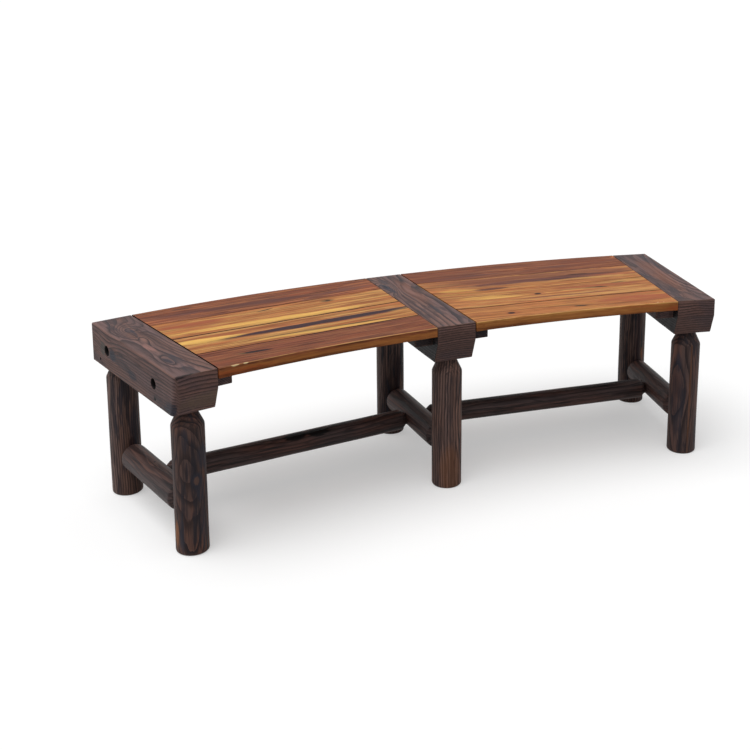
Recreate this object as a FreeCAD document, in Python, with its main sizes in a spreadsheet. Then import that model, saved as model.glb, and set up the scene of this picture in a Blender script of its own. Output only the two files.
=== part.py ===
import FreeCAD, Part
import math
import os

import Sketcher
from FreeCAD import Placement, Rotation, Vector

# A curved garden bench. Three heavy beams lie on radii of one arc and stand on round log legs.
# Two seat panels, each of four boards on two battens, are bolted between the beams.
# Millimetres and degrees. +X runs along the bench, -Y is its hollow front, Z = 0 is the floor.

SIZES = {
    # Overall sizes and the plan
    "bench_length": 1479.55,
    "bench_depth": 508.0,
    "seat_height": 400.05,
    "end_turn": 12.2,
    # Beams
    "beam_width": 94.0,
    "beam_depth": 88.0,
    "beam_chamfer": 2.0,
    "undercut_run": 18.0,
    "undercut_rise": 47.0,
    # Legs
    "leg_diameter": 70.0,
    "leg_back_inset": 43.7,
    "leg_front_inset": 51.5,
    "leg_shoulder": 34.0,
    "leg_tenon_diameter": 38.0,
    "leg_tenon_length": 58.0,
    # Stretchers: a cross one joins each pair of legs, and a long one joins two cross ones
    "cross_diameter": 61.0,
    "cross_height": 98.5,
    "cross_shoulder": 13.0,
    "cross_tenon_diameter": 34.0,
    "cross_tenon_length": 30.0,
    "long_diameter": 49.0,
    "long_height": 95.0,
    "long_inset": 199.0,
    "long_shoulder": 12.0,
    "long_tenon_diameter": 30.0,
    "long_end_tenon_length": 39.0,
    "long_middle_tenon_length": 24.0,
    # Seat panels
    "board_thickness": 22.0,
    "front_board_width": 91.2,
    "board_joint": 0.6,
    "board_end_gap": 1.5,
    "board_overhang": 2.0,
    "board_chamfer": 1.0,
    "batten_width": 44.0,
    "batten_thickness": 27.0,
    "batten_inset": 26.0,
    # Bolts, nuts and washers
    "bolt_diameter": 8.0,
    "bolt_head_width": 13.0,
    "bolt_head_height": 5.3,
    "bolt_drop": 41.5,
    "bolt_back_inset": 83.0,
    "bolt_front_inset": 105.0,
    "bolt_bite": 30.0,
    "counterbore_diameter": 22.0,
    "counterbore_depth": 24.0,
    "washer_diameter": 16.0,
    "washer_thickness": 1.6,
    "nut_height": 6.5,
    "thread_overrun": 3.0,
    # Wood screws
    "screw_diameter": 4.5,
    "screw_head_diameter": 8.5,
    "screw_head_height": 2.4,
    "board_screw_bite": 15.0,
    "lock_screw_head_diameter": 6.4,
    "lock_screw_recess": 4.5,
    "lock_screw_bite": 9.0,
    "lock_screw_shift": 8.0,
    "lock_screw_rise": 15.0,
    # Clearance round every tenon, bolt and screw
    "fit": 0.2,
}

SIDES = {"left": -1, "right": 1}
BEAM_TURNS = {"left": -1, "middle": 0, "right": 1}
BOARD_NAMES = ("back", "middle_back", "middle_front", "front")
HEX_SIDES = 6
# Wood screws, bolt shanks, washers and their holes are drawn with few sides, to keep them light
SMALL_ROUND_SIDES = 10
# Heights that differ by less than this share of themselves count as level
CLOSE_SHARE = 1e-6
FULL_TURN = 360

DOC = FreeCAD.newDocument("tree_bench")
NODES = []


# The sheet and what follows from it


def fill_sheet():
    """Write the driving sizes into a spreadsheet, one named cell each."""
    sheet = DOC.addObject("Spreadsheet::Sheet", "Sizes")
    for row, (alias, number) in enumerate(SIZES.items(), start=1):
        sheet.set(f"A{row}", alias)
        sheet.set(f"B{row}", str(number))
        sheet.setAlias(f"B{row}", alias)
    DOC.recompute()


def lay_out():
    """Close the plan, in which every piece stands on a radius of the bench's arc."""
    layout = DOC.addObject("App::VarSet", "Layout")
    derived = {
        "half_turn": "Sizes.end_turn / 2",
        "corner_cut": "Sizes.beam_chamfer * sin(Sizes.end_turn)",
        "arc_radius": "(Sizes.bench_length / 2 + Layout.corner_cut"
                      " - Sizes.beam_width / 2 * cos(Sizes.end_turn)) / sin(Sizes.end_turn)",
        "beam_length": "(Sizes.bench_depth + Layout.corner_cut"
                       " - Layout.arc_radius * (1 - cos(Sizes.end_turn))"
                       " - Sizes.beam_width / 2 * sin(Sizes.end_turn)) / cos(Sizes.end_turn)",
        "seat_front_radius": "Layout.arc_radius - Layout.beam_length - Sizes.board_overhang",
        "board_width": "(Layout.beam_length + Sizes.board_overhang - Sizes.front_board_width)"
                       f" / {len(BOARD_NAMES) - 1} - Sizes.board_joint",
        "centre_y": "Sizes.bench_depth / 2 - Layout.arc_radius",
        "underside": "Sizes.seat_height - Sizes.beam_depth",
        "panel_bottom": "Sizes.seat_height - Sizes.board_thickness",
        "batten_bottom": "Layout.panel_bottom - Sizes.batten_thickness",
        "board_end_offset": "Sizes.beam_width / 2 + Sizes.board_end_gap",
        "batten_line": "Sizes.beam_width / 2 + Sizes.batten_width / 2",
        "batten_side": "Sizes.beam_width / 2 + Sizes.batten_width",
        "bolt_height": "Sizes.beam_depth - Sizes.bolt_drop",
        "bolt_in_batten": "Sizes.board_thickness + Sizes.batten_thickness - Sizes.bolt_drop",
        "bolt_seat": "Sizes.beam_width / 2 - Sizes.counterbore_depth",
        "lock_seat": "Sizes.beam_width / 2 - Sizes.lock_screw_recess",
        "long_drop": "Sizes.long_height - Sizes.cross_height",
        "long_radius": "(Layout.arc_radius - Sizes.long_inset) * cos(Layout.half_turn)",
        "long_half": "(Layout.arc_radius - Sizes.long_inset) * sin(Layout.half_turn)",
        "long_meets_cross": "Layout.long_half - Sizes.cross_diameter / 2",
        "lock_tip": "Layout.long_drop - Sizes.lock_screw_bite",
        "lock_rail_seat": "Sizes.cross_diameter / 2 - Sizes.lock_screw_recess",
    }
    for name, expression in derived.items():
        layout.addProperty("App::PropertyFloat", name, "Layout")
        layout.setExpression(name, expression)
        layout.recompute()
    return layout


def value(expression):
    """The number that an expression on the sheet gives."""
    return float(LAYOUT.evalExpression(expression))


# Building steps shared by the pieces


def place(piece, turn, radius, height):
    """Stand a piece on its radius of the arc, turned by a share of the end beams' turn."""
    angle = f"(-Sizes.end_turn * {turn})"
    piece.Placement = Placement(Vector(), Rotation(Vector(0, 0, 1), value(angle)))
    piece.setExpression("Placement.Rotation.Angle", angle)
    piece.setExpression("Placement.Base.x", f"-({radius}) * sin({angle})")
    piece.setExpression("Placement.Base.y", f"Layout.centre_y + ({radius}) * cos({angle})")
    piece.setExpression("Placement.Base.z", height)
    NODES.append(piece)


def new_body(label):
    """Start an empty body for one piece."""
    body = DOC.addObject("PartDesign::Body", label)
    body.Label = label
    return body


def sketch_on(body, role, x="0", y="0", lift="0", tilt="0"):
    """Lay a sketch on an origin plane of its body, shifted, lifted and tilted about its own y."""
    sketch = body.newObject("Sketcher::SketchObject", f"{body.Name}_sketch")
    support = next(item for item in body.Origin.OriginFeatures if item.Role == role)
    sketch.AttachmentSupport = (support, [""])
    sketch.MapMode = "FlatFace"
    if tilt != "0":
        sketch.AttachmentOffset = Placement(Vector(), Rotation(Vector(0, 1, 0), value(tilt)))
        sketch.setExpression("AttachmentOffset.Rotation.Angle", tilt)
    for axis, expression in (("x", x), ("y", y), ("z", lift)):
        if expression != "0":
            sketch.setExpression(f"AttachmentOffset.Base.{axis}", expression)
    return sketch


def hold(sketch, shape, point, x, y):
    """Hold a point of a sketch at a pair of expressions, or on an axis where one says 0."""
    for kind, expression, axis in (("DistanceX", x, -2), ("DistanceY", y, -1)):
        if expression == "0":
            sketch.addConstraint(Sketcher.Constraint("PointOnObject", shape, point, axis))
        else:
            held = Sketcher.Constraint(kind, -1, 1, shape, point, value(expression))
            number = sketch.addConstraint(held)
            sketch.setExpression(f"Constraints[{number}]", expression)


def polygon(sketch, corners):
    """Draw a closed chain of lines through corners given as pairs of expressions."""
    points = [Vector(value(x), value(y), 0) for x, y in corners]
    ends = points[1:] + points[:1]
    lines = [sketch.addGeometry(Part.LineSegment(*pair)) for pair in zip(points, ends)]
    for line, following, (x, y) in zip(lines, lines[1:] + lines[:1], corners):
        sketch.addConstraint(Sketcher.Constraint("Coincident", line, 2, following, 1))
        hold(sketch, line, 1, x, y)


def circle(sketch, x, y, radius):
    """Draw a circle about a held centre."""
    ring = Part.Circle(Vector(value(x), value(y), 0), Vector(0, 0, 1), value(radius))
    index = sketch.addGeometry(ring)
    hold(sketch, index, 3, x, y)
    number = sketch.addConstraint(Sketcher.Constraint("Radius", index, value(radius)))
    sketch.setExpression(f"Constraints[{number}]", radius)


def small_hole(sketch, x, y, radius):
    """Draw a regular polygon that just holds a circle, for a bolt or a screw."""
    side_turn = FULL_TURN / SMALL_ROUND_SIDES
    corner = f"({radius}) / cos({side_turn / 2})"
    turns = [step * side_turn for step in range(SMALL_ROUND_SIDES)]
    polygon(sketch, [
        (f"{x} + {corner} * cos({turn})", f"{y} + {corner} * sin({turn})") for turn in turns
    ])


def pad(body, sketch, length, symmetric=False):
    """Raise a sketch into a solid."""
    feature = body.newObject("PartDesign::Pad", f"{body.Name}_pad")
    feature.Profile = sketch
    feature.SideType = "Symmetric" if symmetric else "One side"
    feature.setExpression("Length", length)
    DOC.recompute()
    return feature


def cut(body, sketch, length="", along_normal=False, both_ways=False):
    """Cut a sketch out of a body, right through where no length is given."""
    before = body.Shape.Volume
    feature = body.newObject("PartDesign::Pocket", f"{body.Name}_cut")
    feature.Profile = sketch
    feature.SideType = "Symmetric" if both_ways else "One side"
    feature.Reversed = along_normal
    if length:
        feature.setExpression("Length", length)
    else:
        feature.Type = "ThroughAll"
    DOC.recompute()
    if body.Shape.Volume >= before:
        raise RuntimeError(f"{body.Label}: a cut took nothing away")


def revolve(body, sketch, axis):
    """Turn a half profile about an axis of its sketch."""
    feature = body.newObject("PartDesign::Revolution", f"{body.Name}_turned")
    feature.Profile = sketch
    feature.ReferenceAxis = (sketch, [axis])
    feature.Angle = FULL_TURN
    DOC.recompute()


def chamfer(body, feature, size, edges):
    """Ease the named edges of a feature."""
    eased = body.newObject("PartDesign::Chamfer", f"{body.Name}_chamfer")
    eased.Base = (feature, edges)
    eased.setExpression("Size", size)
    DOC.recompute()


def primitive(kind, name, sizes, spot, direction):
    """Make a primitive that starts at a spot, a triple of expressions, and runs in a direction."""
    piece = DOC.addObject(kind, name)
    for measure, expression in sizes.items():
        piece.setExpression(measure, expression)
    piece.Placement = Placement(Vector(), Rotation(Vector(0, 0, 1), direction))
    for axis, expression in zip("xyz", spot):
        piece.setExpression(f"Placement.Base.{axis}", expression)
    return piece


def bar(name, sides, radius, length, spot, direction):
    """A bar of regular section, with its corners on a circle."""
    sizes = {"Circumradius": radius, "Height": length}
    piece = primitive("Part::Prism", name, sizes, spot, direction)
    piece.Polygon = sides
    return piece


def rod(name, diameter, length, spot, direction):
    """A small round bar."""
    return bar(name, SMALL_ROUND_SIDES, f"({diameter}) / 2", length, spot, direction)


def hexagon(name, length, spot, direction):
    """A hexagonal bar as wide over its flats as a bolt's head."""
    corner_radius = f"Sizes.bolt_head_width / 2 / cos({FULL_TURN / HEX_SIDES / 2})"
    return bar(name, HEX_SIDES, corner_radius, length, spot, direction)


def drilled(name, blank, bore):
    """A blank with a bore cut out of it."""
    piece = DOC.addObject("Part::Cut", name)
    piece.Base = blank
    piece.Tool = bore
    return piece


def joined(name, first, second):
    """Two overlapping primitives as one solid."""
    piece = DOC.addObject("Part::Fuse", name)
    piece.Base = first
    piece.Tool = second
    return piece


def group(label, pieces, turn, radius, height):
    """Gather like fasteners into one node."""
    bundle = DOC.addObject("Part::Compound", label)
    bundle.Label = label
    bundle.Links = pieces
    place(bundle, turn, radius, height)


# Places along a beam, measured from its back end towards the front

LEG_SPOTS = {
    "back": "-Sizes.leg_back_inset",
    "front": "-(Layout.beam_length - Sizes.leg_front_inset)",
}
BOLT_SPOTS = {
    "back": "-Sizes.bolt_back_inset",
    "front": "-(Layout.beam_length - Sizes.bolt_front_inset)",
}
BOLT_HOLE = "Sizes.bolt_diameter / 2 + Sizes.fit"
SCREW_HOLE = "Sizes.screw_diameter / 2 + Sizes.fit"
LOCK_HEAD_HOLE = "Sizes.lock_screw_head_diameter / 2 + Sizes.fit"


# Frame


def beam(name):
    """A beam undercut at its front end, morticed for its legs and bored for its bolts."""
    body = new_body(f"beam_{name}")
    profile = sketch_on(body, "YZ_Plane")
    polygon(profile, [
        ("0", "0"),
        ("-(Layout.beam_length - Sizes.undercut_run)", "0"),
        ("-Layout.beam_length", "Sizes.undercut_rise"),
        ("-Layout.beam_length", "Sizes.beam_depth"),
        ("0", "Sizes.beam_depth"),
    ])
    block = pad(body, profile, "Sizes.beam_width", symmetric=True)
    all_edges = [f"Edge{number}" for number in range(1, len(block.Shape.Edges) + 1)]
    chamfer(body, block, "Sizes.beam_chamfer", all_edges)

    mortises = sketch_on(body, "XY_Plane")
    for spot in LEG_SPOTS.values():
        circle(mortises, "0", spot, "Sizes.leg_tenon_diameter / 2 + Sizes.fit")
    cut(body, mortises, "Sizes.leg_tenon_length + Sizes.fit", along_normal=True)

    bolt_holes = sketch_on(body, "YZ_Plane")
    for spot in BOLT_SPOTS.values():
        small_hole(bolt_holes, spot, "Layout.bolt_height", BOLT_HOLE)
    cut(body, bolt_holes, both_ways=True)
    if name in SIDES:
        bore_outer_face(body, SIDES[name])
    place(body, BEAM_TURNS[name], "Layout.arc_radius", "Layout.underside")


def bore_outer_face(body, side):
    """Counterbore an end beam for its bolts, and bore it for the screw in its back leg's tenon."""
    counterbores = sketch_on(body, "YZ_Plane", lift=f"{side} * Layout.bolt_seat")
    for spot in BOLT_SPOTS.values():
        circle(counterbores, spot, "Layout.bolt_height", "Sizes.counterbore_diameter / 2")
    cut(body, counterbores, along_normal=side > 0)

    screw_hole = sketch_on(body, "YZ_Plane")
    small_hole(screw_hole, LEG_SPOTS["back"], "Sizes.lock_screw_rise", SCREW_HOLE)
    cut(body, screw_hole, along_normal=side > 0)
    head_hole = sketch_on(body, "YZ_Plane", lift=f"{side} * Layout.lock_seat")
    small_hole(head_hole, LEG_SPOTS["back"], "Sizes.lock_screw_rise", LOCK_HEAD_HOLE)
    cut(body, head_hole, along_normal=side > 0)


def leg(name, end):
    """A log leg with a coned shoulder and a tenon, morticed for its cross stretcher."""
    body = new_body(f"leg_{name}_{end}")
    half = sketch_on(body, "XZ_Plane")
    polygon(half, [
        ("0", "0"),
        ("Sizes.leg_diameter / 2", "0"),
        ("Sizes.leg_diameter / 2", "Layout.underside - Sizes.leg_shoulder"),
        ("Sizes.leg_tenon_diameter / 2", "Layout.underside"),
        ("Sizes.leg_tenon_diameter / 2", "Layout.underside + Sizes.leg_tenon_length"),
        ("0", "Layout.underside + Sizes.leg_tenon_length"),
    ])
    revolve(body, half, "V_Axis")

    inward = 1 if end == "front" else -1
    blind_end = f"{-inward} * (Sizes.leg_diameter / 2 - Sizes.cross_tenon_length)"
    mortise = sketch_on(body, "XZ_Plane", lift=blind_end)
    circle(mortise, "0", "Sizes.cross_height", "Sizes.cross_tenon_diameter / 2 + Sizes.fit")
    cut(body, mortise, along_normal=inward < 0)

    if end == "back" and name in SIDES:
        screw_hole = sketch_on(body, "YZ_Plane")
        small_hole(screw_hole, "0", "Layout.underside + Sizes.lock_screw_rise", SCREW_HOLE)
        cut(body, screw_hole, along_normal=SIDES[name] > 0)
    place(body, BEAM_TURNS[name], f"Layout.arc_radius + {LEG_SPOTS[end]}", "0")


def cross_stretcher(name):
    """A round rail between the two legs of a beam, with a socket for each long stretcher."""
    body = new_body(f"cross_stretcher_{name}")
    half = sketch_on(body, "YZ_Plane")
    radius = "Sizes.cross_diameter / 2"
    tenon = "Sizes.cross_tenon_diameter / 2"
    reach = "(Sizes.cross_tenon_length - Sizes.fit)"
    back = f"({LEG_SPOTS['back']} - Sizes.leg_diameter / 2)"
    front = f"({LEG_SPOTS['front']} + Sizes.leg_diameter / 2)"
    polygon(half, [
        (f"{back} + {reach}", "0"),
        (f"{back} + {reach}", tenon),
        (back, tenon),
        (f"{back} - Sizes.cross_shoulder", radius),
        (f"{front} + Sizes.cross_shoulder", radius),
        (front, tenon),
        (f"{front} - {reach}", tenon),
        (f"{front} - {reach}", "0"),
    ])
    revolve(body, half, "H_Axis")
    for side in SIDES.values():
        if side != BEAM_TURNS[name]:
            long_socket(body, side, long_tenon_length(name))
    if name in SIDES:
        lock_screw_hole(body)
    place(body, BEAM_TURNS[name], "Layout.arc_radius", "Sizes.cross_height")


def long_tenon_length(name):
    """How far a long stretcher enters a cross one: the middle one takes a tenon from each side."""
    return "Sizes.long_end_tenon_length" if name in SIDES else "Sizes.long_middle_tenon_length"


def long_socket(body, side, depth):
    """Bore a cross stretcher for a long one that leaves it on one side, aslant by half a turn."""
    start = f"(Sizes.cross_diameter / 2 - {depth})"
    socket = sketch_on(
        body,
        "YZ_Plane",
        x=f"-Sizes.long_inset - {start} * sin(Layout.half_turn)",
        y="Layout.long_drop",
        lift=f"{side} * {start} * cos(Layout.half_turn)",
        tilt=f"({-side} * Layout.half_turn)",
    )
    circle(socket, "0", "0", "Sizes.long_tenon_diameter / 2 + Sizes.fit")
    cut(body, socket, along_normal=side > 0)


def lock_screw_hole(body):
    """Bore an end cross stretcher from above for the screw that locks the long one."""
    spot = "-(Sizes.long_inset + Sizes.lock_screw_shift)"
    shank = sketch_on(body, "XY_Plane", lift="Layout.lock_tip - Sizes.fit")
    small_hole(shank, "0", spot, SCREW_HOLE)
    cut(body, shank, along_normal=True)
    head = sketch_on(body, "XY_Plane", lift="Layout.lock_rail_seat")
    small_hole(head, "0", spot, LOCK_HEAD_HOLE)
    cut(body, head, along_normal=True)


def long_stretcher(name):
    """A round rail between two cross stretchers, locked by a screw in the end one."""
    body = new_body(f"long_stretcher_{name}")
    side = SIDES[name]
    tenon = "Sizes.long_tenon_diameter / 2"
    profile = []
    for end, mate in ((-side, "middle"), (side, name)):
        reach = f"({long_tenon_length(mate)} - Sizes.fit)"
        corners = [
            (f"{end} * (Layout.long_meets_cross + {reach})", "0"),
            (f"{end} * (Layout.long_meets_cross + {reach})", tenon),
            (f"{end} * Layout.long_meets_cross", tenon),
            (f"{end} * (Layout.long_meets_cross - Sizes.long_shoulder)", "Sizes.long_diameter / 2"),
        ]
        profile += corners if end == -side else reversed(corners)
    half = sketch_on(body, "XY_Plane")
    polygon(half, profile)
    revolve(body, half, "H_Axis")

    shank = sketch_on(body, "XY_Plane", lift="-Sizes.lock_screw_bite - Sizes.fit")
    small_hole(
        shank,
        f"{side} * (Layout.long_half - Sizes.lock_screw_shift * sin(Layout.half_turn))",
        "-Sizes.lock_screw_shift * cos(Layout.half_turn)",
        SCREW_HOLE,
    )
    cut(body, shank, along_normal=True)
    place(body, f"{side} / 2", "Layout.long_radius", "Sizes.long_height")


# Seat panels


def corner_on_line(y):
    """The right end of a line along a panel, where it meets the panel's slanting end."""
    apex = "Layout.board_end_offset / sin(Layout.half_turn)"
    return f"((Layout.arc_radius + {y} - {apex}) * tan(Layout.half_turn))", y


def corner_on_arc(radius):
    """The right end of an arc about the bench's centre, where it meets the panel's end."""
    offset = "Layout.board_end_offset"
    reach = f"sqrt({radius}^2 - {offset}^2)"
    x = f"({reach} * sin(Layout.half_turn) - {offset} * cos(Layout.half_turn))"
    y = f"({reach} * cos(Layout.half_turn) + {offset} * sin(Layout.half_turn) - Layout.arc_radius)"
    return x, y


def arc_outline(sketch, straight_y, radius):
    """Draw a board with one straight edge and one edge on an arc about the bench's centre."""
    straight = corner_on_line(straight_y)
    curved = corner_on_arc(radius)
    corners = [(f"-{straight[0]}", straight[1]), straight, curved, (f"-{curved[0]}", curved[1])]
    points = [Vector(value(x), value(y), 0) for x, y in corners]
    lines = [
        sketch.addGeometry(Part.LineSegment(points[first], points[second]))
        for first, second in ((0, 1), (1, 2), (3, 0))
    ]
    centre = Vector(0, -value("Layout.arc_radius"), 0)
    ring = Part.Circle(centre, Vector(0, 0, 1), value(radius))
    start = math.atan2(points[2].y - centre.y, points[2].x)
    arc = sketch.addGeometry(Part.ArcOfCircle(ring, start, math.pi - start))
    edge, right, left = lines
    for first, first_end, second, second_end in (
        (edge, 2, right, 1), (right, 2, arc, 1), (arc, 2, left, 1), (left, 2, edge, 1),
    ):
        sketch.addConstraint(Sketcher.Constraint("Coincident", first, first_end, second, second_end))
    hold(sketch, left, 2, *corners[0])
    hold(sketch, right, 1, *corners[1])
    hold(sketch, right, 2, *corners[2])
    hold(sketch, left, 1, *corners[3])
    number = sketch.addConstraint(Sketcher.Constraint("DistanceY", -1, 1, arc, 3, centre.y))
    sketch.setExpression(f"Constraints[{number}]", "-Layout.arc_radius")


def board_edges(index):
    """The back and front edge of a board on the panel's middle line, from the panel's back."""
    back = f"({-index} * (Layout.board_width + Sizes.board_joint))"
    is_front = index == len(BOARD_NAMES) - 1
    width = "Sizes.front_board_width" if is_front else "Layout.board_width"
    return back, f"({back} - {width})"


def screw_row(index):
    """Where the screws of a board lie along the panel's middle line."""
    back, front = board_edges(index)
    return f"(({back} + {front}) / 2)"


def screw_x(row):
    """How far from the panel's middle line a screw lies in the middle of its batten."""
    apex = "Layout.batten_line / sin(Layout.half_turn)"
    return f"((Layout.arc_radius + {row} - {apex}) * tan(Layout.half_turn))"


def board(panel, index):
    """One seat board, cut to the panel's ends, and to the arc where it is the first or last."""
    body = new_body(f"board_{panel}_{BOARD_NAMES[index]}")
    back, front = board_edges(index)
    outline = sketch_on(body, "XY_Plane")
    if index == 0:
        arc_outline(outline, front, "Layout.arc_radius")
    elif index == len(BOARD_NAMES) - 1:
        arc_outline(outline, back, "Layout.seat_front_radius")
    else:
        (front_x, _), (back_x, _) = corner_on_line(front), corner_on_line(back)
        polygon(outline, [
            (f"-{front_x}", front),
            (front_x, front),
            (back_x, back),
            (f"-{back_x}", back),
        ])
    plank = pad(body, outline, "Sizes.board_thickness")
    top = plank.Shape.BoundBox.ZMax
    top_edges = [
        f"Edge{number}" for number, edge in enumerate(plank.Shape.Edges, start=1)
        if math.isclose(edge.BoundBox.ZMin, top, rel_tol=CLOSE_SHARE)
    ]
    chamfer(body, plank, "Sizes.board_chamfer", top_edges)

    pilot_holes = sketch_on(body, "XY_Plane")
    row = screw_row(index)
    for side in SIDES.values():
        small_hole(pilot_holes, f"{side} * {screw_x(row)}", row, SCREW_HOLE)
    cut(body, pilot_holes, "Sizes.board_screw_bite + Sizes.fit", along_normal=True)
    place(body, f"{SIDES[panel]} / 2", "Layout.arc_radius", "Layout.panel_bottom")


def batten(panel, mate):
    """A batten under the ends of a panel's boards, bolted flat against its beam."""
    end = "outer" if mate == panel else "inner"
    body = new_body(f"batten_{panel}_{end}")
    side = -SIDES[panel] if mate == panel else SIDES[panel]
    plan = sketch_on(body, "XY_Plane")
    near = f"{side} * Sizes.beam_width / 2"
    far = f"{side} * Layout.batten_side"
    back = "-Sizes.batten_inset"
    front = "-(Layout.beam_length - Sizes.batten_inset)"
    polygon(plan, [(near, back), (near, front), (far, front), (far, back)])
    pad(body, plan, "Sizes.batten_thickness")

    if end == "outer":
        bolt_holes = sketch_on(body, "YZ_Plane", lift=near)
        depth = "Sizes.bolt_bite + Sizes.fit"
    else:
        bolt_holes = sketch_on(body, "YZ_Plane")
        depth = ""
    for spot in BOLT_SPOTS.values():
        small_hole(bolt_holes, spot, "Layout.bolt_in_batten", BOLT_HOLE)
    cut(body, bolt_holes, depth, along_normal=side > 0)

    screw_holes = sketch_on(body, "XY_Plane")
    for index in range(len(BOARD_NAMES)):
        along = (
            f"(Layout.arc_radius + {screw_row(index)}) / cos(Layout.half_turn)"
            " - Layout.batten_line * tan(Layout.half_turn) - Layout.arc_radius"
        )
        small_hole(screw_holes, f"{side} * Layout.batten_line", along, SCREW_HOLE)
    cut(body, screw_holes, along_normal=True)
    place(body, BEAM_TURNS[mate], "Layout.arc_radius", "Layout.batten_bottom")


# Fasteners


def washer(name, spot, direction):
    """A flat washer that starts at a spot."""
    disc = rod(f"{name}_disc", "Sizes.washer_diameter", "Sizes.washer_thickness", spot, direction)
    bore = rod(f"{name}_bore", f"({BOLT_HOLE}) * 2", "Sizes.washer_thickness", spot, direction)
    return drilled(name, disc, bore)


def hex_bolt(name, length, spot, direction):
    """A hexagon-headed bolt whose head bears at a spot and whose shank runs in a direction."""
    head = hexagon(f"{name}_head", "Sizes.bolt_head_height", spot, -direction)
    shank = rod(f"{name}_shank", "Sizes.bolt_diameter", length, spot, direction)
    return joined(name, head, shank)


def wood_screw(name, head_diameter, length, spot, direction):
    """A flat-headed wood screw whose head bears at a spot."""
    head = rod(f"{name}_head", head_diameter, "Sizes.screw_head_height", spot, -direction)
    shank = rod(f"{name}_shank", "Sizes.screw_diameter", length, spot, direction)
    return joined(name, head, shank)


def coach_screws(name):
    """The coach screws that draw an outer batten against its end beam, with their washers."""
    side = SIDES[name]
    inward = Vector(-side, 0, 0)
    head = "(Layout.bolt_seat + Sizes.washer_thickness)"
    screws = []
    washers = []
    for end, y in BOLT_SPOTS.items():
        length = f"{head} + Sizes.beam_width / 2 + Sizes.bolt_bite"
        bolt_spot = (f"{side} * {head}", y, "Layout.bolt_height")
        screws.append(hex_bolt(f"coach_screw_{name}_{end}", length, bolt_spot, inward))
        washers.append(washer(f"washer_{name}_{end}", bolt_spot, inward))
    group(f"coach_screws_{name}", screws, side, "Layout.arc_radius", "Layout.underside")
    group(f"washers_{name}", washers, side, "Layout.arc_radius", "Layout.underside")


def middle_bolts():
    """The through bolts that clamp both inner battens to the middle beam."""
    bolts = []
    washers = []
    nuts = []
    along = Vector(1, 0, 0)
    bearing = "(Layout.batten_side + Sizes.washer_thickness)"
    for end, y in BOLT_SPOTS.items():
        length = f"2 * {bearing} + Sizes.nut_height + Sizes.thread_overrun"
        head_spot = (f"-{bearing}", y, "Layout.bolt_height")
        nut_spot = (bearing, y, "Layout.bolt_height")
        bolts.append(hex_bolt(f"bolt_middle_{end}", length, head_spot, along))
        washers.append(washer(f"washer_head_{end}", head_spot, along))
        washers.append(washer(f"washer_nut_{end}", nut_spot, -along))
        blank = hexagon(f"nut_blank_{end}", "Sizes.nut_height", nut_spot, along)
        bore = rod(f"nut_bore_{end}", f"({BOLT_HOLE}) * 2", "Sizes.nut_height", nut_spot, along)
        nuts.append(drilled(f"nut_{end}", blank, bore))
    group("through_bolts", bolts, "0", "Layout.arc_radius", "Layout.underside")
    group("washers_middle", washers, "0", "Layout.arc_radius", "Layout.underside")
    group("nuts", nuts, "0", "Layout.arc_radius", "Layout.underside")


def board_screws(panel):
    """The screws that go up through a panel's battens into its boards."""
    head = "Sizes.screw_head_diameter"
    length = "Sizes.batten_thickness + Sizes.board_screw_bite"
    screws = []
    for index, board_name in enumerate(BOARD_NAMES):
        row = screw_row(index)
        for end, side in SIDES.items():
            spot = (f"{side} * {screw_x(row)}", row, "-Sizes.batten_thickness")
            name = f"screw_{panel}_{board_name}_{end}"
            screws.append(wood_screw(name, head, length, spot, Vector(0, 0, 1)))
    turn = f"{SIDES[panel]} / 2"
    group(f"board_screws_{panel}", screws, turn, "Layout.arc_radius", "Layout.panel_bottom")


def lock_screws(name):
    """The two screws that lock tenons at one end of the bench, in the beam and the stretcher."""
    side = SIDES[name]
    beam_spot = (
        f"{side} * Layout.lock_seat",
        LEG_SPOTS["back"],
        "Layout.underside + Sizes.lock_screw_rise",
    )
    beam_length = "Layout.lock_seat - Sizes.fit"
    rail_spot = (
        "0",
        "-(Sizes.long_inset + Sizes.lock_screw_shift)",
        "Sizes.cross_height + Layout.lock_rail_seat",
    )
    rail_length = "Layout.lock_rail_seat - Layout.lock_tip"
    head = "Sizes.lock_screw_head_diameter"
    screws = [
        wood_screw(f"lock_{name}_beam", head, beam_length, beam_spot, Vector(-side, 0, 0)),
        wood_screw(f"lock_{name}_rail", head, rail_length, rail_spot, Vector(0, 0, -1)),
    ]
    group(f"lock_screws_{name}", screws, side, "Layout.arc_radius", "0")


# Assembly


def check_document():
    """Stop where a feature failed or a piece isn't a sound solid."""
    for item in DOC.Objects:
        if "Invalid" in item.State or "Error" in item.State:
            raise RuntimeError(f"{item.Name} failed: {item.State}")
    for node in NODES:
        if node.Shape.isNull() or not node.Shape.isValid() or not node.Shape.Solids:
            raise RuntimeError(f"{node.Label} is not a sound solid")


def export():
    """Write one file for each node."""
    os.makedirs("parts", exist_ok=True)
    for node in NODES:
        node.Shape.exportStep(f"parts/{node.Label}.step")
        print(f"{node.Label}: {len(node.Shape.Solids)} solids, {node.Shape.Volume:.0f} mm3")
    box = Part.makeCompound([node.Shape for node in NODES]).optimalBoundingBox(False, False)
    print(f"overall {box.XLength:.2f} x {box.YLength:.2f} x {box.ZLength:.2f} mm")
    print(f"centre {box.Center.x:.3f}, {box.Center.y:.3f}, base {box.ZMin:.3f}")


fill_sheet()
LAYOUT = lay_out()
for beam_name in BEAM_TURNS:
    beam(beam_name)
    for leg_end in LEG_SPOTS:
        leg(beam_name, leg_end)
    cross_stretcher(beam_name)
for panel_name in SIDES:
    long_stretcher(panel_name)
    for board_index in range(len(BOARD_NAMES)):
        board(panel_name, board_index)
    for beam_name in (panel_name, "middle"):
        batten(panel_name, beam_name)
    coach_screws(panel_name)
    board_screws(panel_name)
    lock_screws(panel_name)
middle_bolts()
DOC.recompute()
check_document()
export()
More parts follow.
